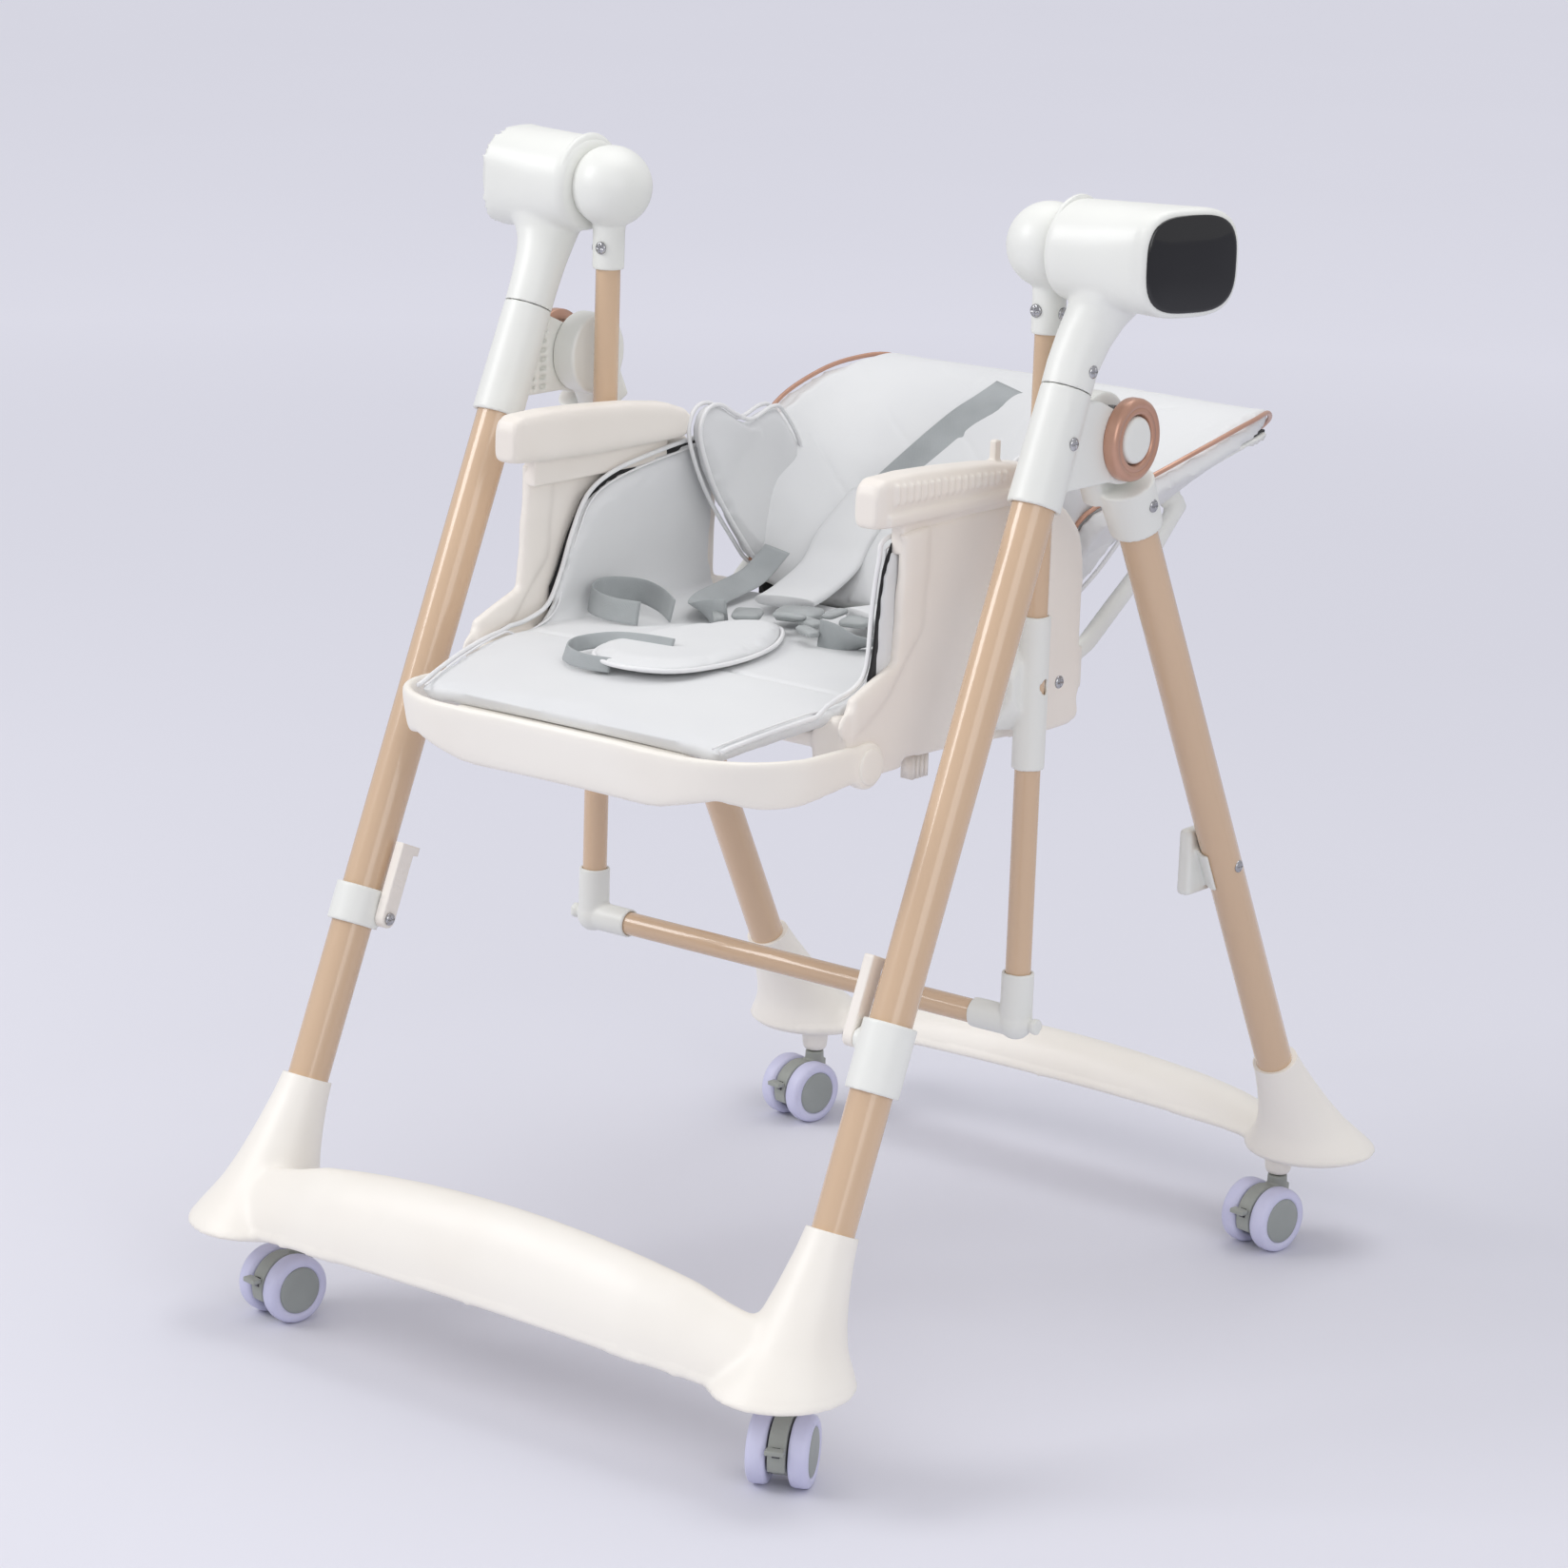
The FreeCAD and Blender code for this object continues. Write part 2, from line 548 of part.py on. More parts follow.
def armrest():
    body = soft_box(ARM_X0, ARM_X1, ARM_Y0, ARM_Y1, ARM_Z0, ARM_Z1, 5.0)
    body = body.cut(box(ARM_X0 - 1, ARM_X1 + 9, ARM_Y0 + 10, ARM_Y0 + 30, ARM_Z0 - 1, ARM_Z0 + 7))
    foot = box(SEAT_HALF - PANEL_WALL - 6, SEAT_HALF, -150, 20, ARM_Z0, ARM_Z0 + 8)
    rail = box(ARM_X1 - 2, ARM_X1 + 5, ARM_Y0 + 12, ARM_Y1 - 36, ARM_Z0 + 4, ARM_Z0 + 12)
    post = box(ARM_X0 + 10, ARM_X0 + 16, -22, -12, ARM_Z1 - 2, ARM_Z1 + 12)
    teeth = []
    for i in range(TOOTH_COUNT):
        y = ARM_Y0 + 18 + i * TOOTH_PITCH
        teeth.append(box(ARM_X1 - 2, ARM_X1 + 2.5, y, y + 4, ARM_Z0 + 24, ARM_Z1 - 7))
    return join(body, foot, rail, post, *teeth)


def height_clamp():
    z0, z1 = CLAMP_Z0, CLAMP_Z1
    socket = cyl(V(ROD_X, SWING_Y, z0), V(ROD_X, SWING_Y, z1), ROD_SOCKET_R)
    drop = [circle(V(x, SWING_Y, CLAMP_MID_Z), X_AXIS, r)
            for x, r in ((SEAT_HALF, 44.0), (SEAT_HALF + 14, 41.0), (ROD_X, 26.0))]
    plate = loft(drop, True).common(box(200, 300, SWING_Y - 27, SWING_Y + 30, 400, 700))
    body = join(socket, plate)
    body = body.cut(cyl(V(ROD_X, SWING_Y, 400), V(ROD_X, SWING_Y, 800), ROD_R + 0.1))
    return body.cut(xcyl(ROD_X, ROD_X + 30, SWING_Y + 2, CLAMP_MID_Z, 6.0))


def seat_cushion():
    top = PAN_Z + 0.5 + CUSHION_T
    x1 = SEAT_HALF - PANEL_WALL - 0.6
    base_pad = soft_box(-x1, x1, FOOT_PIVOT_Y, 82, PAN_Z + 0.5, top, 6.0)
    wing = side_plate([(-158, top - 4), (-146, 640), (-128, 690), (-96, 716), (-40, 728), (50, 736), (50, top - 4)],
                      x1 - 24, x1)
    return join(base_pad, wing, mirror(wing))


def slope_frame(y, z, degrees):
    """Centre, and the normal that leans towards the sitter."""
    a = math.radians(degrees)
    return V(0, y, z), V(0, -math.sin(a), math.cos(a))


# Back tray: y, z, slope in degrees, half width, height of its side walls.
TRAY = [(118, 586, 38, 164, 22), (190, 642, 38, 167, 86), (262, 698, 36, 200, 66),
        (330, 738, 24, 222, 38), (388, 752, 6, 228, 24), (436, 745, -12, 216, 14)]


def tray_solid(low, wall, shrink, extra):
    """U-shaped loft along TRAY: floor from 'low' to low + wall, sides that thick."""
    wires = []
    for y, z, degrees, half, height in TRAY:
        c, n = slope_frame(y, z, degrees)
        w = half - shrink
        h = max(height + extra, low + wall + 1.0)
        pts = [(-w, h), (-w, low), (w, low), (w, h), (w - wall, h), (w - wall, low + wall),
               (wall - w, low + wall), (wall - w, h)]
        at = [c + V(p, 0, 0) + n * q for p, q in pts]
        wires.append(Part.makePolygon(at + [at[0]]))
    return loft(wires, True)


def backrest_shell():
    barrel = xcyl(-164, 164, RECLINE_Y, RECLINE_Z, BARREL_R)
    floor = side_plate([(RECLINE_Y + 2, RECLINE_Z + 1), (RECLINE_Y + 6, RECLINE_Z - 4), (128, 590), (122, 596)],
                       -160, 160)
    body = join(tray_solid(0.0, 4.0, 0.0, 0.0), barrel, floor)
    return body.cut(xcyl(-200, 200, RECLINE_Y, RECLINE_Z, RECLINE_PIN_R + RUN))


def backrest_pad():
    pad = tray_solid(6.0, 20.0, 6.0, 4.0)
    pad = pad.cut(side_plate([(0, 500), (172, 500), (96, 620), (0, 620)], -300, 300))
    wing = side_plate([(110, 612), (80, 640), (50, 686), (33, 724), (37, 752), (62, 762), (92, 752), (150, 722),
                       (180, 668), (138, 624)], 142, 160)
    return join(pad, wing, mirror(wing))


def footrest_band():
    """U-shaped band round the sitter's calves, on two round pivots."""
    half = SEAT_HALF - 0.5

    def outline(inset):
        h = half - inset
        front = BAND_FRONT_Y + inset
        r = BAND_CORNER_R - inset
        k = r * (1 - math.sqrt(0.5))
        back = FOOT_PIVOT_Y
        return [V(h, back, 0), V(h, front + r, 0), V(h - k, front + k, 0), V(h - r, front, 0),
                V(r - h, front, 0), V(k - h, front + k, 0), V(-h, front + r, 0), V(-h, back, 0)]
    o, i = outline(0.0), outline(BAND_T)
    edges = [Part.LineSegment(o[0], o[1]), Part.Arc(o[1], o[2], o[3]), Part.LineSegment(o[3], o[4]),
             Part.Arc(o[4], o[5], o[6]), Part.LineSegment(o[6], o[7]), Part.LineSegment(o[7], i[7]),
             Part.LineSegment(i[7], i[6]), Part.Arc(i[6], i[5], i[4]), Part.LineSegment(i[4], i[3]),
             Part.Arc(i[3], i[2], i[1]), Part.LineSegment(i[1], i[0]), Part.LineSegment(i[0], o[0])]
    face = Part.Face(Part.Wire([e.toShape() for e in edges]))
    band = face.extrude(V(0, 0, BAND_Z1 - BAND_Z0))
    band.translate(V(0, 0, BAND_Z0))
    ear = xcyl(half - BAND_T, half + 5, FOOT_PIVOT_Y, FOOT_PIVOT_Z, FOOT_PIVOT_R)
    shelf = box(-120, 120, BAND_FRONT_Y + BAND_T - 1, BAND_FRONT_Y + 30, BAND_Z1 - 4, BAND_Z1)
    body = join(band, ear, mirror(ear), shelf)
    return body.cut(xcyl(-300, 300, FOOT_PIVOT_Y, FOOT_PIVOT_Z, 5.0 + RUN))


def strap(a, b, width, thick=1.6):
    """Flat webbing from a to b, its width level."""
    run = b - a
    side = run.cross(Z_AXIS).normalize() * (width / 2)
    up = side.cross(run).normalize() * thick
    if up.z < 0:
        up = up * -1
    pts = [a - side, a + side, b + side, b - side]
    return Part.Face(Part.makePolygon(pts + [pts[0]])).extrude(up)


# ---- fasteners: each place gives the screw (play 0) or its hole --------------
def sleeve_screw(play=0.0):
    z = 812.0
    return screw(V(FRONT_LEG_X + SLEEVE_R0 - 1.6, front_leg(z).y, z), X_AXIS, 4.5, play)


def neck_screw(play=0.0):
    z = 868.0
    return screw(V(FRONT_LEG_X + SLEEVE_R1 - 1.4, front_leg(z).y, z), X_AXIS, 8.0, play)


def knuckle_screw(play=0.0):
    p = rear_at(66)
    return screw(V(REAR_LEG_X + 22.6, p.y, p.z), X_AXIS, 4.5, play)


def bracket_screw(play=0.0):
    z = 401.0
    return screw(V(REAR_LEG_X + REAR_TUBE_R - 1.2, rear_leg(z).y, z), X_AXIS, 3.0, play)


def rod_screw(play=0.0):
    return screw(V(ROD_X + ROD_SOCKET_R - 1.0, SWING_Y, 904.0), X_AXIS, 1.5, play)


# ---- build -----------------------------------------------------------------
os.makedirs("parts", exist_ok=True)

save("front_base", base(-1, front_leg, FRONT_DIR, FRONT_TUBE_R, FRONT_CONE_Z, FRONT_RIDGE_Z, FRONT_STEM_Y))
save("rear_base", base(1, rear_leg, REAR_DIR, REAR_TUBE_R, REAR_CONE_Z, REAR_RIDGE_Z, REAR_STEM_Y))

leg = ring(front_leg(RIM_Z + 17), front_leg(SLEEVE_Z1 - 7), FRONT_TUBE_R, FRONT_TUBE_R - TUBE_WALL)
leg = leg.cut(sleeve_screw(FIT))
save("front_legs", leg, mirror(leg))
leg = ring(rear_leg(RIM_Z + 17), rear_at(52.5), REAR_TUBE_R, REAR_TUBE_R - TUBE_WALL)
leg = leg.cut(knuckle_screw(FIT))
save("rear_legs", leg.cut(bracket_screw(FIT)), mirror(leg))

save_pair("upper_sleeve", upper_sleeve().cut(sleeve_screw(FIT)))
save_pair("head_housing", head_housing().cut(neck_screw(FIT)))
cover = inner_cover()
save("head_inner_covers", cover, mirror(cover))
save("control_panel", pod_slice(PANEL_PROUD, PANEL_PROUD - PANEL_T))
save("head_end_cap", mirror(pod_slice(PANEL_PROUD, PANEL_PROUD - PANEL_T)))
board = pod_slice(PANEL_PROUD - PANEL_T, PANEL_PROUD - PANEL_T - BOARD_T)
board = board.common(box(300, 400, SWING_Y - 34, SWING_Y + 34, POD_Z - 30, POD_Z + 30))
save("control_board", board)
motor = xcyl(285.0, 311.5, SWING_Y + 22, SWING_Z - 22, 11.0)
save("swing_motor", motor)
bearings = [ring(V(x, SWING_Y, SWING_Z), V(x + 9, SWING_Y, SWING_Z), 14.0, SWING_PIN_R + RUN) for x in (276.0, 312.0)]
save("pivot_bearings", *(bearings + [mirror(b) for b in bearings]))
ring_shape = hub_ring()
save("hub_rings", ring_shape, mirror(ring_shape))
gear = lock_gear()
save("lock_gears", gear, mirror(gear))
save_pair("fold_button", button())
pin = xcyl(KNUCKLE_X0 + 1, DRUM_X0 + 10, HUB_Y, HUB_Z, FOLD_PIN_R)
save("fold_pins", pin, mirror(pin))
knuckle = rear_knuckle().cut(knuckle_screw(FIT))
save("rear_knuckles", knuckle, mirror(knuckle))

save("leg_collar_right", collar(RIGHT_COLLAR_LENGTH, *RIGHT_HOOK).cut(hook_pin(*RIGHT_HOOK, FIT)))
save("leg_collar_left", mirror(collar(LEFT_COLLAR_LENGTH, *LEFT_HOOK).cut(hook_pin(*LEFT_HOOK, FIT))))
save("storage_hook_right", hook(*RIGHT_HOOK))
save("storage_hook_left", mirror(hook(*LEFT_HOOK)))

front_screws = [sleeve_screw(), neck_screw()]
front_screws += [mirror(one) for one in front_screws]
front_screws += [hook_pin(*RIGHT_HOOK), mirror(hook_pin(*LEFT_HOOK))]
save("front_screws", *front_screws)

bracket = box(262, 275.4, 185, 225, 372, 432)
bracket = bracket.makeFillet(4.0, bracket.Edges)
saddle = cyl(rear_leg(385), rear_leg(420), REAR_TUBE_R + 3).common(box(240, 292, 0, 400, 300, 500))
bracket = join(bracket, saddle).cut(cyl(rear_leg(300), rear_leg(500), REAR_TUBE_R + FIT))
save("leg_bracket", bracket)
save("rear_screws", bracket_screw(), knuckle_screw(), mirror(knuckle_screw()))

ball = pivot_ball().cut(rod_screw(FIT))
save_pair("pivot_ball", ball)
rod = ring(V(ROD_X, SWING_Y, ROD_Z0), V(ROD_X, SWING_Y, ROD_Z1), ROD_R, ROD_R - TUBE_WALL)
rod = rod.cut(xcyl(ROD_X - 20, ROD_X + 20, SWING_Y, SWING_Z, SWING_PIN_R + 1))
save("swing_rods", rod, mirror(rod))
joint = tee()
save("tee_joints", joint, mirror(joint))
bar_end = ROD_X - 16.5
save("swing_crossbar", ring(V(-bar_end, SWING_Y, TEE_Z), V(bar_end, SWING_Y, TEE_Z), CROSSBAR_R, CROSSBAR_R - TUBE_WALL))
axle = xcyl(ROD_X - 3, 322.0, SWING_Y, SWING_Z, SWING_PIN_R)
save("swing_axles", axle, mirror(axle))
save("swing_screws", rod_screw(), mirror(rod_screw()))

save("seat_shell", seat_shell())
save_pair("armrest", armrest())
clamp = height_clamp()
save("height_clamps", clamp, mirror(clamp))
save("seat_cushion", seat_cushion())
save("recline_pin", xcyl(-185, 185, RECLINE_Y, RECLINE_Z, RECLINE_PIN_R))
foot_pin = xcyl(182, SEAT_HALF + 2, FOOT_PIVOT_Y, FOOT_PIVOT_Z, 5.0)
save("footrest_pins", foot_pin, mirror(foot_pin))
save("backrest_shell", backrest_shell())
save("backrest_pad", backrest_pad())
save("footrest_band", footrest_band())
save("calf_pad", soft_box(-150, 150, BAND_FRONT_Y - 4, FOOT_PIVOT_Y - 5, BAND_Z1, BAND_Z1 + 14, 5.0))

cushion_top = PAN_Z + 0.5 + CUSHION_T
z = cushion_top + GAP
waist = [strap(V(-160, 40, z), V(-30, -20, z), 30), strap(V(160, 40, z), V(40, -20, z), 30)]
save("waist_straps", *waist)
save("buckle", soft_box(-28, 38, -40, 0, z + 1.6 + GAP, z + 16, 4.0))
crotch = soft_box(-62, 48, -256, -62, z, z + 12, 5.0)
save("crotch_pad", crotch)

for name, turn in CASTER_TURN.items():
    cx = CASTER_X if name.endswith("right") else -CASTER_X
    cy = FRONT_STEM_Y if name.startswith("front") else REAR_STEM_Y
    housing, wheels, brake = caster(cx, cy, turn)
    save("caster_housing_" + name, housing)
    save("caster_wheels_" + name, wheels)
    save("caster_brake_" + name, brake)
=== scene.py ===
"""Visible model of a baby high chair with a swing frame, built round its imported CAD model.

Sizes in the tables below are millimetres in the CAD frame, and become metres through P().
+Z is up, the chair faces -Y, and X = 0 is its plane of symmetry.
"""
import math

import bmesh
import bpy
from mathutils import Matrix, Vector, noise


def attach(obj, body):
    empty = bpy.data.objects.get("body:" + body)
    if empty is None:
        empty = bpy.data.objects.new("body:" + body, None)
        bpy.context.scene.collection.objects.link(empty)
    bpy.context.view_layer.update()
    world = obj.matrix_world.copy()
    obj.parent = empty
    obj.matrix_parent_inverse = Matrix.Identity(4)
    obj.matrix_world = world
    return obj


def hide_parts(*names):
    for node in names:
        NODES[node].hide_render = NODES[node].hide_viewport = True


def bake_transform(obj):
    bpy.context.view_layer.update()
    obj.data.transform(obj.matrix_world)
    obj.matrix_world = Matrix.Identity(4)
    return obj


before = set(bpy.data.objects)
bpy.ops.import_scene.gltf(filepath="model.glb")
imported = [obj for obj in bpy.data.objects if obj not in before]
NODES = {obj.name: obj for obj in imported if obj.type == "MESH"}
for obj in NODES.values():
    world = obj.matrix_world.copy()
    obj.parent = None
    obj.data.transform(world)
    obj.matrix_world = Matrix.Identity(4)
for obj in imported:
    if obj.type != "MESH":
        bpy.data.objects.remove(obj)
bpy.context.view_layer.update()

MM = 0.001
SIDES = (("right", 1), ("left", -1))
HUB = (4.0, 806.0)     # y and z of the fold hinge
SWING = (-14.0, 959.0)
ROD_X = 235.0
FRONT_LEG_X = 287.0
REAR_LEG_X = 292.0
RIM_Z = 88.0


def P(x, y, z):
    return Vector((x, y, z)) * MM


def front_leg(z):
    return P(FRONT_LEG_X, -80.0 + 0.4234 * (z - 806.0), z)


def rear_leg(z):
    return P(REAR_LEG_X, 4.0 + 0.517 * (806.0 - z), z)


FRONT_DIR = Vector((0, 0.4234, 1)).normalized()
REAR_DIR = Vector((0, -0.517, 1)).normalized()


# ---- materials -------------------------------------------------------------
def colour(r, g, b):
    """Linear RGBA of an 8-bit sRGB colour."""
    def lin(c):
        c /= 255.0
        return c / 12.92 if c <= 0.04045 else ((c + 0.055) / 1.055) ** 2.4
    return (lin(r), lin(g), lin(b), 1.0)


def material(name, tone, shade, patch=6.0, rough=(0.35, 0.5), grain=900.0, height=0.05, weave=0.0, **sockets):
    """Surface whose colour drifts between two tones, with fine grain or a square weave as bump.

    weave is the number of threads in a metre; sockets are constants of the shader.
    """
    mat = bpy.data.materials.new(name)
    mat.use_nodes = True
    nodes, links = mat.node_tree.nodes, mat.node_tree.links
    shader = nodes["Principled BSDF"]
    place = nodes.new("ShaderNodeTexCoord")

    def cloud(scale, detail):
        node = nodes.new("ShaderNodeTexNoise")
        node.inputs["Scale"].default_value = scale
        node.inputs["Detail"].default_value = detail
        links.new(place.outputs["Object"], node.inputs["Vector"])
        return node
    drift = cloud(patch, 3.0)
    ramp = nodes.new("ShaderNodeValToRGB")
    ramp.color_ramp.elements[0].position, ramp.color_ramp.elements[0].color = 0.35, colour(*shade)
    ramp.color_ramp.elements[1].position, ramp.color_ramp.elements[1].color = 0.65, colour(*tone)
    links.new(drift.outputs["Fac"], ramp.inputs["Fac"])
    links.new(ramp.outputs["Color"], shader.inputs["Base Color"])
    spread = nodes.new("ShaderNodeMapRange")
    spread.inputs["To Min"].default_value, spread.inputs["To Max"].default_value = rough
    links.new(cloud(patch * 9, 4.0).outputs["Fac"], spread.inputs["Value"])
    links.new(spread.outputs["Result"], shader.inputs["Roughness"])
    bump = nodes.new("ShaderNodeBump")
    bump.inputs["Strength"].default_value = 1.0
    bump.inputs["Distance"].default_value = height * MM
    fine = cloud(grain, 2.0).outputs["Fac"]
    if weave:
        for axis in ("X", "Y", "Z"):
            wave = nodes.new("ShaderNodeTexWave")
            wave.bands_direction = axis
            wave.inputs["Scale"].default_value = weave / 3.0
            links.new(place.outputs["Object"], wave.inputs["Vector"])
            add = nodes.new("ShaderNodeMath")
            links.new(fine, add.inputs[0])
            links.new(wave.outputs["Fac"], add.inputs[1])
            fine = add.outputs["Value"]
    links.new(fine, bump.inputs["Height"])
    links.new(bump.outputs["Normal"], shader.inputs["Normal"])
    for socket, value in sockets.items():
        shader.inputs[socket.replace("_", " ")].default_value = value
    return mat


CREAM = material("cream_plastic", (247, 243, 235), (243, 238, 229), rough=(0.36, 0.46), height=0.03)
SHELL = material("seat_plastic", (243, 237, 229), (238, 231, 222), rough=(0.36, 0.46), height=0.03)
WHITE = material("head_plastic", (237, 238, 233), (231, 232, 227), rough=(0.33, 0.42), height=0.03)
CHAMPAGNE = material("champagne_paint", (214, 184, 153), (211, 181, 150), patch=4.0, rough=(0.22, 0.24),
                     grain=2500.0, height=0.001, Metallic=0.0, Coat_Weight=0.6, Coat_Roughness=0.04)
ROSE = material("rose_gold", (206, 162, 140), (198, 152, 129), patch=20.0, rough=(0.3, 0.38),
                grain=2500.0, height=0.01, Metallic=0.55, Coat_Weight=0.2)
BLACK_GLASS = material("black_glass", (12, 12, 15), (9, 9, 12), rough=(0.06, 0.1), grain=300.0, height=0.002,
                       Coat_Weight=0.5)
CHROME = material("chrome", (200, 200, 202), (170, 170, 173), patch=40.0, rough=(0.12, 0.22), grain=2500.0,
                  height=0.01, Metallic=1.0)
STEEL = material("steel", (150, 150, 152), (130, 130, 132), patch=40.0, rough=(0.3, 0.4), Metallic=1.0)
LEATHER = material("pale_leather", (226, 227, 227), (220, 221, 222), patch=5.0, rough=(0.42, 0.55),
                   grain=1300.0, height=0.12, Sheen_Weight=0.05)
PIPING = material("white_piping", (238, 238, 238), (230, 230, 231), patch=30.0, rough=(0.4, 0.5),
                  grain=1300.0, height=0.08)
BACKING = material("black_backing", (30, 30, 33), (22, 22, 25), patch=12.0, rough=(0.75, 0.85), height=0.15,
                   weave=1400.0, Sheen_Weight=0.15)
WEBBING = material("grey_webbing", (178, 183, 184), (166, 171, 172), patch=25.0, rough=(0.5, 0.6), height=0.12,
                   weave=1500.0, Sheen_Weight=0.2)
BUCKLE = material("buckle_plastic", (172, 176, 176), (160, 164, 164), patch=20.0, rough=(0.35, 0.45))
TYRE = material("lilac_tyre", (213, 213, 238), (206, 206, 233), patch=20.0, rough=(0.42, 0.52), height=0.04)
CASTER = material("caster_plastic", (164, 168, 161), (155, 158, 152), patch=18.0, rough=(0.4, 0.5), height=0.05)
HUB_DISC = material("hub_plastic", (158, 163, 160), (150, 155, 152), patch=18.0, rough=(0.38, 0.46), height=0.04)
THREAD = material("thread", (238, 238, 236), (226, 226, 224), patch=60.0, rough=(0.6, 0.7), height=0.05)
FLOOR = material("studio_floor", (222, 222, 231), (220, 220, 229), patch=0.4, rough=(0.85, 0.9), height=0.0)


# ---- mesh helpers ----------------------------------------------------------
def make(name, verts, faces, mat=None):
    mesh = bpy.data.meshes.new(name)
    mesh.from_pydata([tuple(v) for v in verts], [], faces)
    return finish_mesh(name, mesh, mat)


def finish_mesh(name, mesh, mat=None):
    """Object of a mesh whose faces point outward and shade smoothly."""
    bm = bmesh.new()
    bm.from_mesh(mesh)
    bmesh.ops.recalc_face_normals(bm, faces=bm.faces)
    for face in bm.faces:
        face.smooth = True
    bm.to_mesh(mesh)
    bm.free()
    obj = bpy.data.objects.new(name, mesh)
    bpy.context.scene.collection.objects.link(obj)
    if mat:
        mesh.materials.clear()
        mesh.materials.append(mat)
    return obj


def bake(obj):
    """Applies every modifier."""
    shown = obj.evaluated_get(bpy.context.evaluated_depsgraph_get())
    mesh = bpy.data.meshes.new_from_object(shown)
    obj.modifiers.clear()
    obj.data = mesh
    for poly in mesh.polygons:
        poly.use_smooth = True
    return obj


def smoothed(points, steps=8, closed=False):
    """Catmull-Rom curve through points."""
    n = len(points)
    out = []
    for i in range(n if closed else n - 1):
        if closed:
            a, b, c, d = (points[(i + k) % n] for k in (-1, 0, 1, 2))
        else:
            a, b, c, d = (points[min(max(i + k, 0), n - 1)] for k in (-1, 0, 1, 2))
        for s in range(steps):
            t = s / steps
            out.append(0.5 * ((2 * b) + (c - a) * t + (2 * a - 5 * b + 4 * c - d) * t * t
                              + (3 * b - 3 * c + d - a) * t ** 3))
    if not closed:
        out.append(points[-1].copy())
    return out


def loft(name, rings, mat=None, caps=True):
    n = len(rings[0])
    faces = []
    for i in range(len(rings) - 1):
        for j in range(n):
            k = (j + 1) % n
            faces.append((i * n + j, i * n + k, (i + 1) * n + k, (i + 1) * n + j))
    if caps:
        faces.append(tuple(range(n - 1, -1, -1)))
        faces.append(tuple((len(rings) - 1) * n + j for j in range(n)))
    return make(name, [p for ring in rings for p in ring], faces, mat)


def axes_of(direction):
    """Two unit vectors square to a direction."""
    d = Vector(direction).normalized()
    first = Vector((1, 0, 0)) if abs(d.x) < 0.9 else Vector((0, 1, 0))
    u = (first - d * first.dot(d)).normalized()
    return u, d.cross(u)


def circle(centre, direction, radius, count=48):
    u, v = axes_of(direction)
    turn = math.tau / count
    return [centre + (u * math.cos(i * turn) + v * math.sin(i * turn)) * radius for i in range(count)]


def rounded(centre, u, v, half_u, half_v, power=4.0, count=48):
    """Superellipse: a box whose corners are round."""
    out = []
    for i in range(count):
        a = i * math.tau / count
        c, s = math.cos(a), math.sin(a)
        k = (abs(c) ** power + abs(s) ** power) ** (-1.0 / power)
        out.append(centre + u * (c * k * half_u) + v * (s * k * half_v))
    return out


def lathe(name, profile, origin, direction, mat=None, count=64):
    """Profile of (along, radius) in millimetres, turned about a line."""
    d = Vector(direction).normalized()
    rings = [circle(origin + d * (along * MM), d, max(radius, 0.02) * MM, count) for along, radius in profile]
    return loft(name, rings, mat)


def tube(name, points, radius, mat=None, count=12, closed=False):
    """Round cord along points, radius in millimetres."""
    rings, n = [], len(points)
    u = None
    for i, p in enumerate(points):
        ahead = points[(i + 1) % n] if closed or i < n - 1 else p
        behind = points[i - 1] if closed or i > 0 else p
        d = (ahead - behind).normalized()
        u = axes_of(d)[0] if u is None else (u - d * u.dot(d)).normalized()
        v = d.cross(u)
        rings.append([p + (u * math.cos(a) + v * math.sin(a)) * radius * MM
                      for a in (k * math.tau / count for k in range(count))])
    if closed:
        # the last ring may be turned against the first: match their seams
        first = rings[0]
        shift = min(range(count), key=lambda s: (rings[-1][s] - first[0]).length)
        rings.append([first[(k - shift) % count] for k in range(count)])
        return weld(loft(name, rings, mat, caps=False))
    return loft(name, rings, mat)


def weld(obj, distance=1e-6):
    bm = bmesh.new()
    bm.from_mesh(obj.data)
    bmesh.ops.remove_doubles(bm, verts=bm.verts, dist=distance)
    bm.to_mesh(obj.data)
    bm.free()
    return obj


def slab(name, outline, depth, mat=None):
    """Outline of points pushed along depth, a vector."""
    n = len(outline)
    verts = list(outline) + [p + depth for p in outline]
    faces = [tuple(range(n - 1, -1, -1)), tuple(range(n, 2 * n))]
    faces += [(i, (i + 1) % n, n + (i + 1) % n, n + i) for i in range(n)]
    return make(name, verts, faces, mat)


def block(name, low, high, mat=None):
    (x0, y0, z0), (x1, y1, z1) = low, high
    return slab(name, [P(x0, y0, z0), P(x1, y0, z0), P(x1, y1, z0), P(x0, y1, z0)], P(0, 0, z1 - z0), mat)


def joined(name, parts):
    """One object of several closed meshes."""
    bm = bmesh.new()
    for part in parts:
        bm.from_mesh(part.data)
    mesh = bpy.data.meshes.new(name)
    bm.to_mesh(mesh)
    bm.free()
    mats = list(parts[0].data.materials)
    for part in parts:
        bpy.data.objects.remove(part)
    obj = bpy.data.objects.new(name, mesh)
    bpy.context.scene.collection.objects.link(obj)
    for mat in mats:
        mesh.materials.append(mat)
    return obj


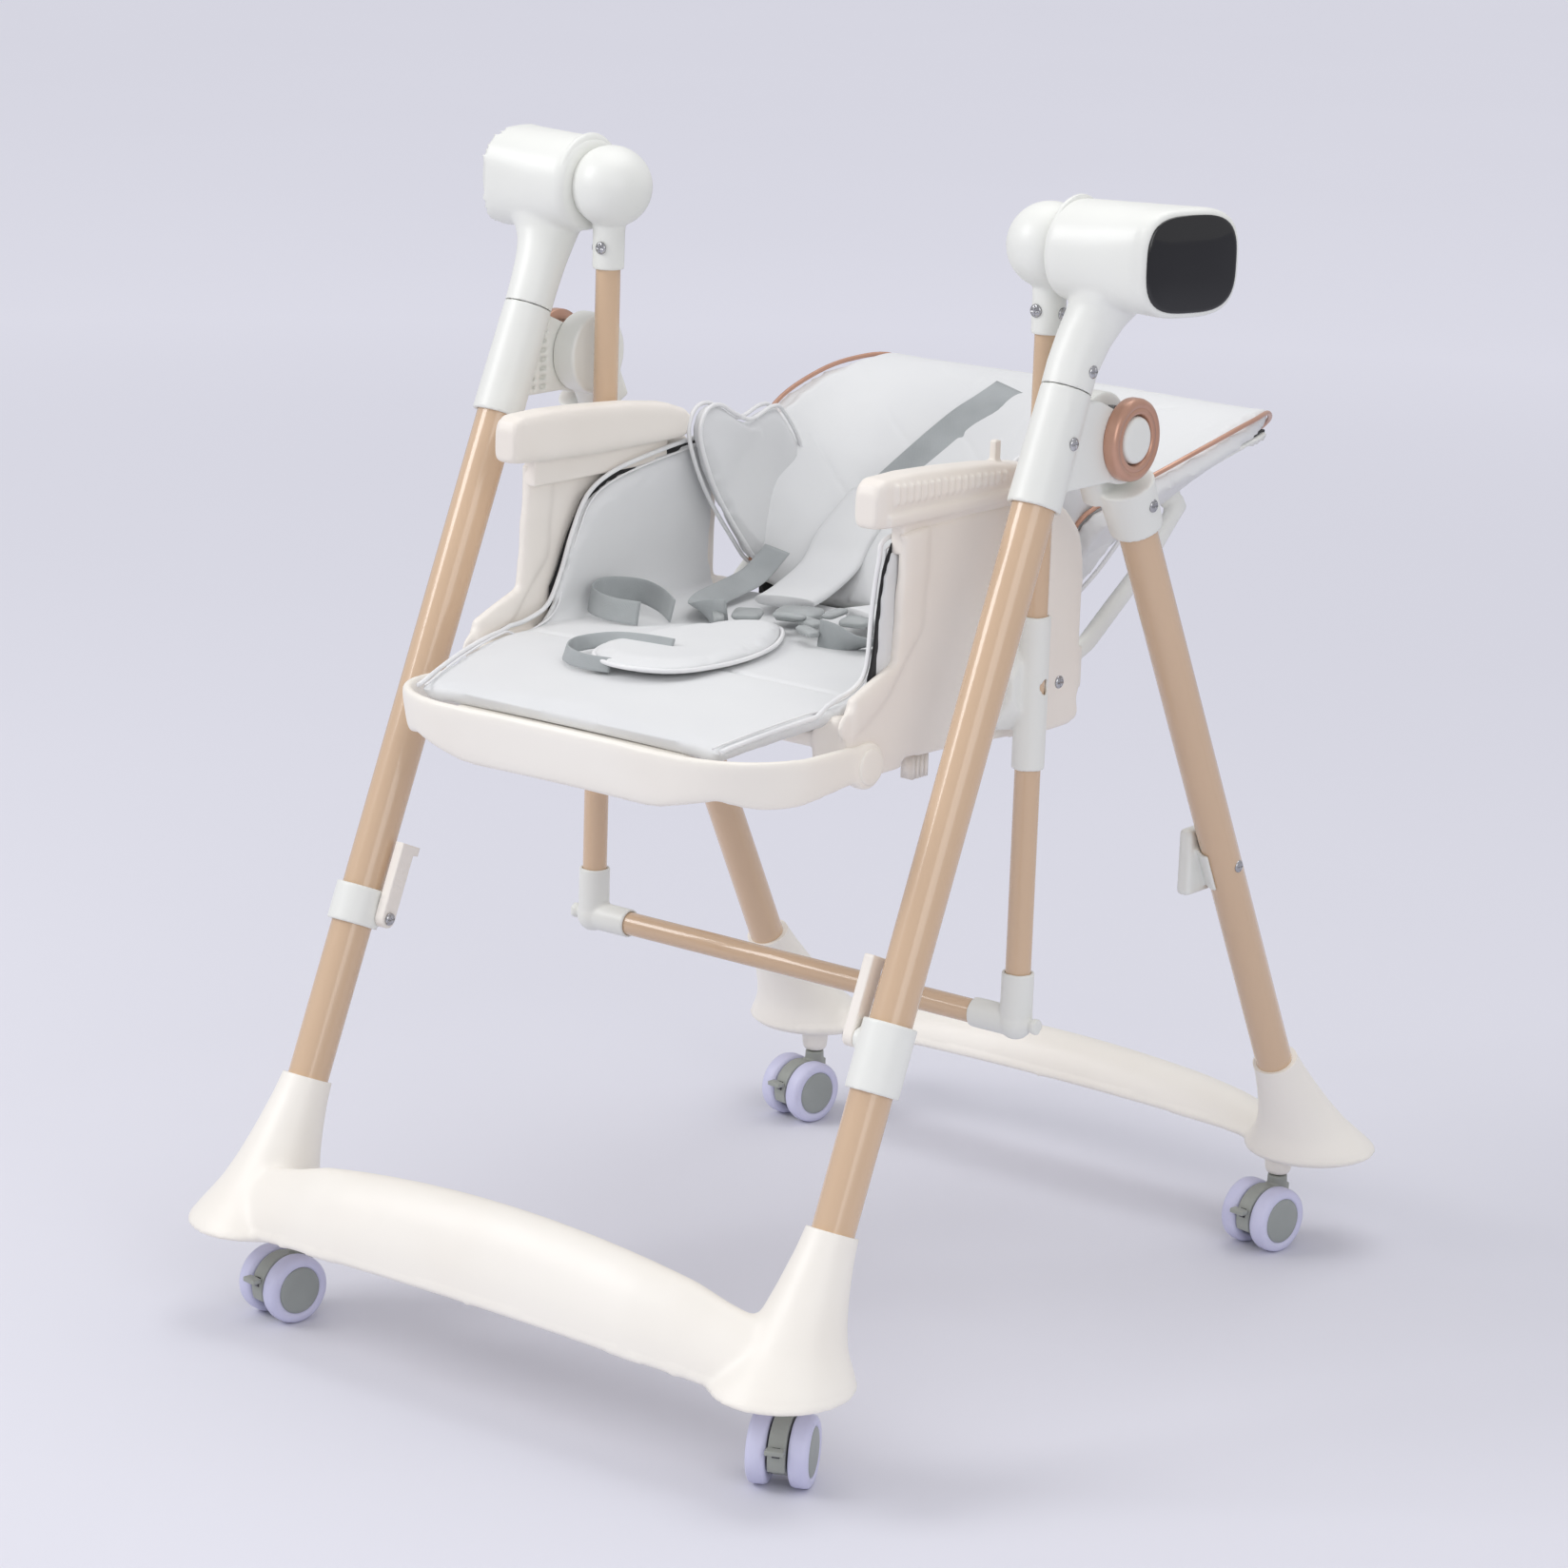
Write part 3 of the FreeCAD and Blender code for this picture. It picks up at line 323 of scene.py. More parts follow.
def moulded(name, parts, mat, voxel=2.0, rounds=6, cuts=()):
    """Parts melted into one skin with soft edges, then cut flat at planes of (point, direction)."""
    obj = weld(joined(name, parts), 1e-5)
    remesh = obj.modifiers.new("skin", "REMESH")
    remesh.mode = "VOXEL"
    remesh.voxel_size = voxel * MM
    soften = obj.modifiers.new("soften", "SMOOTH")
    soften.factor = 0.5
    soften.iterations = rounds
    bake(obj)
    for point, direction in cuts:
        cut_flat(obj, point, direction)
    obj.data.materials.clear()
    obj.data.materials.append(mat)
    return obj


def cut_flat(obj, point, direction):
    """Removes what lies beyond a plane, and closes the cut with a flat face."""
    bm = bmesh.new()
    bm.from_mesh(obj.data)
    bmesh.ops.bisect_plane(bm, geom=bm.verts[:] + bm.edges[:] + bm.faces[:], plane_co=point,
                           plane_no=direction, clear_outer=True)
    edges = [e for e in bm.edges if e.is_boundary]
    made = bmesh.ops.holes_fill(bm, edges=edges, sides=0)
    for face in made["faces"]:
        face.smooth = False
    bm.to_mesh(obj.data)
    bm.free()


def from_cad(name, node, mat, voxel=1.5, rounds=4, cuts=()):
    """New piece with the form of a CAD node, its edges softened."""
    mesh = NODES[node].data.copy()
    mesh.materials.clear()
    copy = bpy.data.objects.new(name + "_form", mesh)
    bpy.context.scene.collection.objects.link(copy)
    return moulded(name, [copy], mat, voxel, rounds, cuts)


def thick_sheet(name, rows, depth, mat=None):
    """Closed sheet: rows of points, and a depth in millimetres below them, one number or one for each point."""
    m, n = len(rows), len(rows[0])

    def normal(i, j):
        along = rows[min(i + 1, m - 1)][j] - rows[max(i - 1, 0)][j]
        across = rows[i][min(j + 1, n - 1)] - rows[i][max(j - 1, 0)]
        return along.cross(across).normalized()
    top = [p for row in rows for p in row]
    low = []
    for i in range(m):
        for j in range(n):
            d = depth[i][j] if hasattr(depth, "__len__") else depth
            low.append(rows[i][j] + normal(i, j) * d * MM)
    faces = []
    k = m * n
    for i in range(m - 1):
        for j in range(n - 1):
            a, b, c, d = i * n + j, i * n + j + 1, (i + 1) * n + j + 1, (i + 1) * n + j
            faces.append((a, b, c, d))
            faces.append((k + d, k + c, k + b, k + a))
    rim = [j for j in range(n)] + [i * n + n - 1 for i in range(1, m)]
    rim += [(m - 1) * n + j for j in range(n - 2, -1, -1)] + [i * n for i in range(m - 2, 0, -1)]
    for a, b in zip(rim, rim[1:] + rim[:1]):
        faces.append((a, k + a, k + b, b))
    return make(name, top + low, faces, mat)


SOFT = []


def pad(name, parts, mat, cap=5.0, voxel=4.5, fill=0.5, rounds=3):
    """Padded piece: remeshed now, swollen by simulation with the others in swell()."""
    obj = moulded(name, parts, mat, voxel, rounds)
    SOFT.append((obj, cap, fill))
    return obj


def swell():
    """Cloth simulation of every padded piece, each point's move capped."""
    scene = bpy.context.scene
    rest = {}
    for obj, cap, fill in SOFT:
        rest[obj.name] = [v.co.copy() for v in obj.data.vertices]
        cloth = obj.modifiers.new("swell", "CLOTH")
        cloth.settings.use_pressure = True
        cloth.settings.uniform_pressure_force = 4.0
        cloth.settings.effector_weights.gravity = 0.0
        cloth.settings.quality = 4
    for step in range(1, 21):
        scene.frame_set(step)
    graph = bpy.context.evaluated_depsgraph_get()
    for obj, cap, fill in SOFT:
        moved = [v.co.copy() for v in obj.evaluated_get(graph).data.vertices]
        obj.modifiers.clear()
        for vert, here, there in zip(obj.data.vertices, rest[obj.name], moved):
            step = there - here
            if step.length > cap * MM:
                step *= cap * MM / step.length
            vert.co = here + step
        refine = obj.modifiers.new("refine", "SUBSURF")
        refine.levels = refine.render_levels = 1
        bake(obj)
    scene.frame_set(1)


def press_seams(obj, lines, depth=2.0, width=3.5):
    """Sewn channels: vertices near the lines sink along their normals."""
    mesh = obj.data
    segments = []
    for line in lines:
        segments += list(zip(line[:-1], line[1:]))
    moves = []
    for vert in mesh.vertices:
        best = 1.0
        for a, b in segments:
            ab = b - a
            if (vert.co - a).length > ab.length + 0.02 and (vert.co - b).length > ab.length + 0.02:
                continue
            t = max(0.0, min(1.0, (vert.co - a).dot(ab) / ab.length_squared))
            best = min(best, (vert.co - (a + ab * t)).length)
        if best < 4 * width * MM:
            moves.append((vert, math.exp(-(best / (width * MM)) ** 2)))
    for vert, share in moves:
        vert.co -= vert.normal * depth * share * MM
    mesh.update()


def stitches(name, line, normal, mat=THREAD, pitch=5.0, length=3.2, radius=0.35, lift=0.3):
    """Row of short thread stitches along a line."""
    parts = []
    run, total = 0.0, sum((b - a).length for a, b in zip(line[:-1], line[1:]))
    while run < total - length * MM:
        a, b = along(line, run), along(line, run + length * MM)
        up = normal(a) if callable(normal) else normal
        mid = (a + b) / 2 + up * (lift + radius) * MM
        parts.append(tube(name + "_one", smoothed([a, mid, b], 2), radius, mat, 6))
        run += pitch * MM
    return joined(name, parts)


def along(line, distance):
    for a, b in zip(line[:-1], line[1:]):
        step = (b - a).length
        if distance <= step:
            return a.lerp(b, distance / step)
        distance -= step
    return line[-1].copy()


def ribbon(name, points, width, side, mat=WEBBING, thick=1.6, steps=6):
    """Flat webbing along points; side is its width direction, one vector or one for each point."""
    path = smoothed(points, steps)
    sides = side if isinstance(side, list) else [side] * len(points)
    sides = smoothed([Vector(s) for s in sides], steps)
    rings = []
    for i, p in enumerate(path):
        d = (path[min(i + 1, len(path) - 1)] - path[max(i - 1, 0)]).normalized()
        s = (sides[i] - d * sides[i].dot(d)).normalized()
        rings.append(rounded(p, s, d.cross(s), width / 2 * MM, thick / 2 * MM, 6.0, 20))
    return loft(name, rings, mat)


def place(obj, body, slot, *nodes):
    """Hangs a piece on its body and hides the CAD nodes it stands for. The slot argument is not used."""
    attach(obj, body)
    if nodes:
        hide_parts(*nodes)
    return obj


def paint(mat, *names):
    """Procedural material on CAD nodes that stay."""
    for name in names:
        mesh = NODES[name].data
        mesh.materials.clear()
        mesh.materials.append(mat)


# ---- bases -----------------------------------------------------------------
FLARE = [(0.0, 0.0), (0.2, 0.07), (0.42, 0.21), (0.6, 0.36), (0.76, 0.55), (0.88, 0.78), (0.95, 0.93), (1.0, 1.0)]


def leg_cone(leg_at, direction, foot_y, top_r, top_z, side):
    rings = []
    for way, flare in FLARE:
        centre = leg_at(top_z + (RIM_Z + 5 - top_z) * way)
        centre.y += (foot_y * MM - leg_at(RIM_Z).y) * way
        centre.x *= side
        tilt = direction.lerp(Vector((0, 0, 1)), way)
        rings.append(circle(centre, tilt, (top_r + (60.0 - top_r) * flare) * MM))
    foot = P(side * FRONT_LEG_X, foot_y, RIM_Z)
    rings.append(circle(foot + P(0, 0, 2), Vector((0, 0, 1)), 60.0 * MM))
    rings.append(circle(foot, Vector((0, 0, 1)), 58.0 * MM))
    return loft("cone", rings)


def base_bar(sign, ridge_z, end_dip):
    """Saddle-shaped bar: low and arched underneath, with a rounded ridge."""
    rings = []
    for i in range(41):
        share = -1 + i / 20
        x = FRONT_LEG_X * share
        low = RIM_Z + 11.0 * (1 - share * share)
        dip = end_dip * min(1.0, (share / 0.78) ** 2) + 16.0 * max(0.0, abs(share) - 0.72) / 0.28
        tuck = 13.0 * max(0.0, abs(share) - 0.55) / 0.45
        high = ridge_z - dip
        step = high - low
        section = [(52, 0), (50, 0.16), (45, 0.4), (33, 0.72), (20, 0.92), (8, 1.0), (-4, 0.93),
                   (-14, 0.72), (-21, 0.4), (-24, 0.16), (-26, 0)]
        edge = [P(x, sign * (398 + (out - tuck if out > 15 else out)), low + step * up) for out, up in section]
        rings.append(smoothed(edge, 4) + [P(x, sign * (398 - 13), low), P(x, sign * (398 + 13), low),
                                          P(x, sign * (398 + 39 - tuck), low)])
    return loft("bar", rings)


def build_base(name, body, sign, leg_at, direction, top_r, top_z, ridge_z, end_dip, stem_y):
    parts = [base_bar(sign, ridge_z, end_dip)]
    cuts = []
    for _, side in SIDES:
        parts.append(leg_cone(leg_at, direction, sign * 398, top_r, top_z + 8, side))
        boss = [(0, 11.5), (1.5, 13), (30, 13)]
        parts.append(lathe("boss", boss, P(side * 270, stem_y, 66), (0, 0, 1)))
    top = leg_at(top_z)
    cuts.append((top, direction))
    obj = moulded(name, parts, CREAM, 3.0, 22, cuts)
    for vert in obj.data.vertices:
        share = vert.co.x / (FRONT_LEG_X * MM)
        low = (RIM_Z + 11.0 * max(0.0, 1 - share * share)) * MM
        rise = vert.co.z - low
        if 0.0015 < rise < 0.008 and abs(vert.normal.z) < 0.75:
            vert.co += Vector((vert.normal.x, vert.normal.y, 0)) * 1.0 * MM
    place(obj, body, "cream_shell", name)


build_base("front_base", "front_frame", -1, front_leg, FRONT_DIR, 21.5, 204.0, 176.0, 20.0, -362)
build_base("rear_base", "rear_frame", 1, rear_leg, REAR_DIR, 20.0, 194.0, 138.0, 16.0, 376)


# ---- sleeves, hubs and heads -----------------------------------------------
def screw_head(name, at, direction, radius=5.6):
    """Pan head with a cross recess."""
    d = Vector(direction).normalized()
    u, v = axes_of(d)
    rings = []
    count = 48
    for r, h in ((5.0, 0.0), (5.0, 0.8), (4.6, 1.5), (3.9, 2.1), (3.0, 2.5), (2.4, 2.65), (1.8, 2.75),
                 (1.2, 2.8), (0.6, 2.8), (0.05, 2.8)):
        ring = []
        for i in range(count):
            a = i * math.tau / count + 0.4
            x, y = math.cos(a) * r, math.sin(a) * r
            sunk = 1.3 if min(abs(x), abs(y)) < 0.55 and r < 3.2 else 0.0
            ring.append(at + (u * x + v * y) * radius / 5.0 * MM + d * (h - sunk) * MM)
        rings.append(ring)
    return loft(name, rings, CHROME)


def hub_ring(side):
    x = side * 305.0
    profile = [(0, 20.6), (0, 34.0), (1.5, 34.5), (8.0, 34.5), (10.5, 33.6), (12.0, 31.5), (12.0, 27.4),
               (11.3, 26.9), (11.3, 26.2), (12.0, 25.7), (11.6, 22.4), (10.6, 21.6), (9.4, 21.2), (8.0, 20.6)]
    rings = [circle(P(x + side * a, *HUB), (1, 0, 0), r * MM, 96) for a, r in profile]
    return weld(loft("ring", rings + rings[:1], ROSE, caps=False))


def hub_button(side):
    profile = [(-4, 19.6), (9.0, 19.6), (11.0, 19.0), (12.3, 17.4), (12.9, 15.0), (13.0, 10.0), (13.0, 4.0), (13.0, 0)]
    return lathe("button", profile, P(side * 305.0, *HUB), (side, 0, 0), WHITE, 72)


def sleeve(name, side):
    node = "upper_sleeve_" + name
    low, high = front_leg(760.0), front_leg(851.6)
    obj = from_cad(node, node, WHITE, 1.4, 5, [(high, FRONT_DIR), (low, -FRONT_DIR)])
    place(obj, "front_frame", "head_white", node)


POD_ROWS = [(-8.0, 39.0, 37.0, 2.1), (-7.0, 41.0, 39.0, 2.1), (-4.0, 43.0, 40.6, 2.1), (0.0, 44.4, 41.6, 2.2),
            (30.0, 46.0, 42.6, 2.3), (60.0, 47.0, 43.4, 2.6), (84.0, 47.4, 44.0, 3.0)]


def head(name, side):
    """Head like a hairdryer: a barrel along X on a neck that flares into it."""
    rings = []
    for along_x, half_y, half_z, power in POD_ROWS:
        rings.append(rounded(P(side * (262 + along_x), -14, 958.5), Vector((0, 1, 0)), Vector((0, 0, 1)),
                             half_y * MM, half_z * MM, power, 64))
    slant = math.atan2(33.0, 95.0)
    u = Vector((side * math.sin(slant), math.cos(slant), 0))
    out = Vector((side * math.cos(slant), -math.sin(slant), 0))
    mid = P(side * 370.5, -14, 958.5)
    taper = ((9.0, 0.0), (4.0, 0.4), (1.5, 1.6), (0.2, 3.6))
    if side < 0:
        taper = ((30.0, 1.0), (18.0, 4.5), (9.0, 10.0), (3.0, 18.0), (0.2, 26.0))
    for back, shrink in taper:
        half = 47.4 / math.cos(slant) - shrink
        rings.append(rounded(mid - out * back * MM, u, Vector((0, 0, 1)), half * MM, (44.5 - shrink) * MM, 3.2, 64))
    neck = []
    for z, r, shift, dy in ((845, 21.0, 0, 0), (870, 21.3, 0, 0), (890, 22.5, 2, 2), (905, 25.0, 5, 5),
                            (918, 29.5, 10, 8), (930, 36.0, 17, 9), (945, 40.0, 22, 8)):
        centre = front_leg(z) + P(shift, dy, 0)
        centre.x *= side
        tilt = FRONT_DIR.lerp(Vector((0, 0, 1)), max(0.0, min(1.0, (z - 890) / 40)))
        neck.append(circle(centre, tilt, r * MM, 64))
    node = "head_housing_" + name
    cut = front_leg(852.3)
    obj = moulded(node, [loft("pod", rings), loft("neck", neck)], WHITE, 2.2, 10, [(cut, -FRONT_DIR)])
    place(obj, "front_frame", "head_white", node)
    face = []
    rim = 5.2 if side > 0 else 27.0
    for rise, shrink in ((-2.0, rim), (0.6, rim), (1.2, rim + 0.8), (1.6, rim + 2.8), (2.0, 33.0), (2.2, 43.0)):
        half = 47.4 / math.cos(slant) - shrink
        face.append(rounded(mid + out * rise * MM, u, Vector((0, 0, 1)), half * MM, (44.5 - shrink) * MM, 3.2, 64))
    if side > 0:
        place(loft("control_panel", face, BLACK_GLASS), "front_frame", "panel_black", "control_panel")
    else:
        place(loft("head_end_cap", face, WHITE), "front_frame", "head_white", "head_end_cap")


def swing_ball(name, side):
    node = "pivot_ball_" + name
    centre = P(side * 233.0, *SWING)
    ball = lathe("ball", [(36 * math.sin(a), 36 * math.cos(a)) for a in
                          (math.radians(-90 + 4 * k) for k in range(46))], centre, (1, 0, 0))
    collar = lathe("collar", [(0, 13.4), (1.0, 14.2), (30, 14.2), (46, 15.0)], P(side * ROD_X, SWING[0], 886.0), (0, 0, 1))
    obj = moulded(node, [ball, collar], WHITE, 1.6, 4, [(P(0, 0, 886.6), Vector((0, 0, -1)))])
    place(obj, "swing_frame", "head_white", node)


for name, side in SIDES:
    sleeve(name, side)
    head(name, side)
    swing_ball(name, side)
    place(hub_button(side), "fold_button_" + name, "head_white", "fold_button_" + name).name = "fold_button_" + name + "_cap"
rings_pair = joined("hub_rings", [hub_ring(1), hub_ring(-1)])
place(rings_pair, "front_frame", "rose_gold", "hub_rings")
knuckles = from_cad("rear_knuckles", "rear_knuckles", WHITE, 1.6, 6)
place(knuckles, "rear_frame", "head_white", "rear_knuckles")
covers = []
for name, side in SIDES:
    profile = [(0, 33.0), (0, 41.5), (2.5, 42.5), (5.0, 41.0), (6.0, 38.0), (6.0, 35.0), (5.0, 33.0)]
    rings = [circle(P(side * (262 - a), -14, 961), (1, 0, 0), r * MM, 96) for a, r in profile]
    covers.append(weld(loft("cover", rings + rings[:1], WHITE, caps=False)))
place(joined("head_inner_covers", covers), "front_frame", "head_white", "head_inner_covers")


def screws():
    """Screw heads where the CAD has screws; each set replaces its node, except the clamp screws, which replace none."""
    front = []
    rear = []
    swing = []
    for name, side in SIDES:
        for z, off in ((812.0, 21.2), (868.0, 20.4)):
            p = front_leg(z)
            front.append(screw_head("s", P(side * (FRONT_LEG_X + off), p.y / MM, z), (side, 0, 0)))
        p = P(REAR_LEG_X, HUB[0], HUB[1]) - REAR_DIR * 66 * MM
        rear.append(screw_head("s", Vector((side * (REAR_LEG_X + 23.0) * MM, p.y, p.z)), (side, 0, 0)))
        swing.append(screw_head("s", P(side * (ROD_X + 13.4), -14, 904), (side, 0, 0)))
        swing.append(screw_head("s", P(side * (ROD_X - 3), -28.0, 906), (0, -1, 0)))
    hooks = ((349.0, -6.0, 1), (340.0, 8.0, -1))
    for z, off, side in hooks:
        p = front_leg(z)
        front.append(screw_head("s", P(side * 253.0, p.y / MM + off, z), (-side, 0, 0)))
    p = rear_leg(401.0)
    rear.append(screw_head("s", P(REAR_LEG_X + 15.6, p.y / MM, 401.0), (1, 0, 0)))
    clamp = [screw_head("s", P(side * 238.0, 22, 587), (side, 0, 0)) for _, side in SIDES]
    place(joined("clamp_screws", clamp), "seat", "screw_chrome")
    place(joined("front_screws", front), "front_frame", "screw_chrome", "front_screws")
    place(joined("rear_screws", rear), "rear_frame", "screw_chrome", "rear_screws")
    place(joined("swing_screws", swing), "swing_frame", "screw_chrome", "swing_screws")


screws()

# ---- tubes, swing frame, collars and hooks ---------------------------------
paint(CHAMPAGNE, "front_legs", "rear_legs", "swing_rods", "swing_crossbar")
paint(STEEL, "swing_axles", "recline_pin", "footrest_pins", "fold_pins", "pivot_bearings", "lock_gears",
      "swing_motor", "control_board")
place(from_cad("tee_joints", "tee_joints", WHITE, 1.5, 6), "swing_frame", "head_white", "tee_joints")
for name, side in SIDES:
    place(from_cad("leg_collar_" + name, "leg_collar_" + name, WHITE, 1.3, 5), "front_frame", "head_white",
          "leg_collar_" + name)
    place(from_cad("storage_hook_" + name, "storage_hook_" + name, SHELL, 1.0, 4), "storage_hook_" + name,
          "cream_shell", "storage_hook_" + name).name = "storage_hook_" + name + "_lever"
place(from_cad("leg_bracket", "leg_bracket", WHITE, 1.5, 5), "rear_frame", "head_white", "leg_bracket")
place(from_cad("height_clamps", "height_clamps", WHITE, 1.6, 10), "seat", "head_white", "height_clamps")


# ---- casters ---------------------------------------------------------------
CASTERS = {"front_right": (270, -362, 25.0), "front_left": (-270, -362, -10.0),
           "rear_right": (270, 376, -10.0), "rear_left": (-270, 376, -10.0)}


def caster(name, x, y, turn):
    """Twin wheel on a stem: two lilac tyres with grey discs, hood, neck and brake lever."""
    spot = Matrix.Translation(P(x, y, 0)) @ Matrix.Rotation(math.radians(turn), 4, "Z")
    axle = P(0, -18, 30)
    tyres, discs = [], []
    for _, side in SIDES:
        tyre = [(9, 20.5), (9.2, 26.5), (10.5, 29.0), (13.5, 30.0), (21.0, 30.0), (24.0, 29.2), (25.6, 27.0),
                (26.0, 24.0), (25.4, 21.6), (24.0, 20.5)]
        rings = [circle(axle + P(side * a, 0, 0), (1, 0, 0), r * MM, 72) for a, r in tyre]
        tyres.append(weld(loft("tyre", rings + rings[:1], TYRE, caps=False)))
        disc = [(9.4, 20.8), (24.2, 20.9), (25.2, 20.4), (25.7, 18.5), (25.9, 12.0), (26.0, 0.0)]
        discs.append(lathe("disc", [(side * a, r) for a, r in disc], axle, (1, 0, 0), HUB_DISC, 72))
    discs.append(lathe("axle", [(-12, 4), (12, 4)], axle, (1, 0, 0), HUB_DISC, 24))
    wheel = joined("caster_tyres_" + name, tyres)
    hub = joined("caster_discs_" + name, discs)
    hood = [(0.0, 24.0), (0.0, 24.0)]
    arc = []
    for k in range(25):
        a = math.radians(-28 + k * 9.6)
        arc.append((math.cos(a) * 28.2, math.sin(a) * 28.2))
    hood = slab("hood", [axle + P(-7.6, q, r) for q, r in arc], P(15.2, 0, 0))
    core = lathe("core", [(-7.6, 21), (7.6, 21)], axle, (1, 0, 0))
    neck = lathe("neck", [(34, 12.0), (50, 10.5), (58, 9.2), (65.4, 9.0)], P(0, 0, 0), (0, 0, 1))
    web = block("web", (-7.4, -12, 40), (7.4, 9, 57))
    body = moulded("caster_housing_" + name, [hood, core, neck, web], CASTER, 1.0, 4)
    window = block("window", (-3.2, -46.4, 33.0), (3.2, -43.0, 41.0), BLACK_GLASS)
    lever = [block("arm", (-4.0, -48, 36.8), (4.0, -37, 40.4)), block("pad", (-8.0, -55, 37.6), (8.0, -46.5, 42.0))]
    stalk = lathe("stalk", [(-4.2, 3.6), (4.2, 3.6)], P(0, -35, 35), (1, 0, 0))
    brake = moulded("caster_brake_lever_" + name, lever + [stalk], CASTER, 0.9, 3)
    for obj in (wheel, hub, body, window, brake):
        obj.data.transform(spot)
    window.name = "caster_window_" + name
    place(wheel, "wheels_" + name, "tyre_lilac", "caster_wheels_" + name)
    place(hub, "wheels_" + name, "caster_grey")
    place(body, "caster_" + name, "caster_grey", "caster_housing_" + name)
    place(window, "caster_" + name, "caster_grey")
    place(brake, "brake_" + name, "caster_grey", "caster_brake_" + name)


for name, spec in CASTERS.items():
    caster(name, *spec)


# ---- seat shell ------------------------------------------------------------
PANEL = [(-152, 736), (-144, 716), (-146, 690), (-148, 655), (-160, 630), (-188, 612), (-222, 600), (-237, 586),
         (-226, 572), (-196, 566), (-178, 552), (-150, 545), (-80, 541), (-20, 538), (50, 531), (101, 535),
         (103, 560), (103, 634), (104, 661), (98, 694), (84, 713), (62, 730), (30, 738)]


def seat_shell():
    parts = []
    for _, side in SIDES:
        outline = smoothed([P(side * 198, y, z) for y, z in PANEL], 4, closed=True)
        parts.append(slab("panel", outline, P(side * 6.5, 0, 0)))
        band = [(-143, 735, 0), (-143, 703, 0), (-146, 680, 0), (-147, 655, 0), (-155, 632, 40), (-172, 614, 62),
                (-200, 600, 80), (-222, 590, 90)]
        rings = []
        for p, q in zip(smoothed([Vector((y, z, 0)) for y, z, _ in band], 4),
                        smoothed([Vector((t, 0, 0)) for _, _, t in band], 4)):
            a = math.radians(q.x)
            width = Vector((0, math.cos(a), math.sin(a)))
            rings.append(rounded(P(side * 201.5, p.x, p.y), Vector((1, 0, 0)), width, 6.5 * MM, 17.5 * MM, 3.0, 32))
        parts.append(loft("flange", rings))
        parts.append(block("cheek", (min(side * 166, side * 203), -226, 536), (max(side * 166, side * 203), -150, 590)))
        parts.append(block("lug", (min(side * 166, side * 202), 82, 560), (max(side * 166, side * 202), 112, 598)))
    parts.append(block("pan", (-200, -214, 566), (200, 90, 573)))
    parts.append(block("nose", (-172, -222, 560), (172, -206, 574)))
    parts.append(block("apron", (-200, 82, 542), (200, 89, 573)))
    obj = moulded("seat_shell", parts, SHELL, 2.6, 7)
    place(obj, "seat", "cream_shell", "seat_shell")
    plug = [block("rib", (188 - 2, -128 + k * 6, 522), (200 - 2, -124 + k * 6, 541), SHELL) for k in range(4)]
    place(joined("seat_ribs_right", plug), "seat", "cream_shell")


def armrest(name, side):
    """Hollow-looking moulding, its nose rounded, with teeth and a rail along the outside."""
    right = side > 0
    rows = [(-199, 20, 745, 770), (-196, 24, 742, 778), (-188, 28, 741, 782), (-150, 29, 739, 783),
            (-100, 29, 737, 781), (-40, 29, 737, 777), (10, 29, 737, 771), (32, 28, 738, 764), (40, 24, 742, 758)]
    rings = []
    for y, width, z0, z1 in rows:
        centre = P(side * 192, y, (z0 + z1) / 2)
        rings.append(rounded(centre, Vector((1, 0, 0)), Vector((0, 0, 1)), width / 2 * MM, (z1 - z0) / 2 * MM, 5.0, 40))
    parts = [loft("arm", rings)]
    rail = [P(side * 200, y, 748) for y in (-186, -120, -60, 6)]
    rail_rings = [rounded(p, Vector((1, 0, 0)), Vector((0, 0, 1)), 9.5 * MM, 5.5 * MM, 5.0, 24) for p in rail]
    parts.append(loft("rail", rail_rings))
    for i in range(17 if right else 0):
        y = -178 + i * 9.4
        parts.append(block("tooth", (203, y, 761), (209.5, y + 4.4, 777 - i * 0.5)))
    if right:
        parts.append(block("post", (188, -24, 770), (195, -16, 793)))
    parts.append(block("foot", (min(side * 190, side * 203), -160, 716), (max(side * 190, side * 203), 20, 742)))
    node = "armrest_" + name
    obj = moulded(node, parts, SHELL, 1.5, 5)
    place(obj, "seat", "cream_shell", node)


seat_shell()
for name, side in SIDES:
    armrest(name, side)


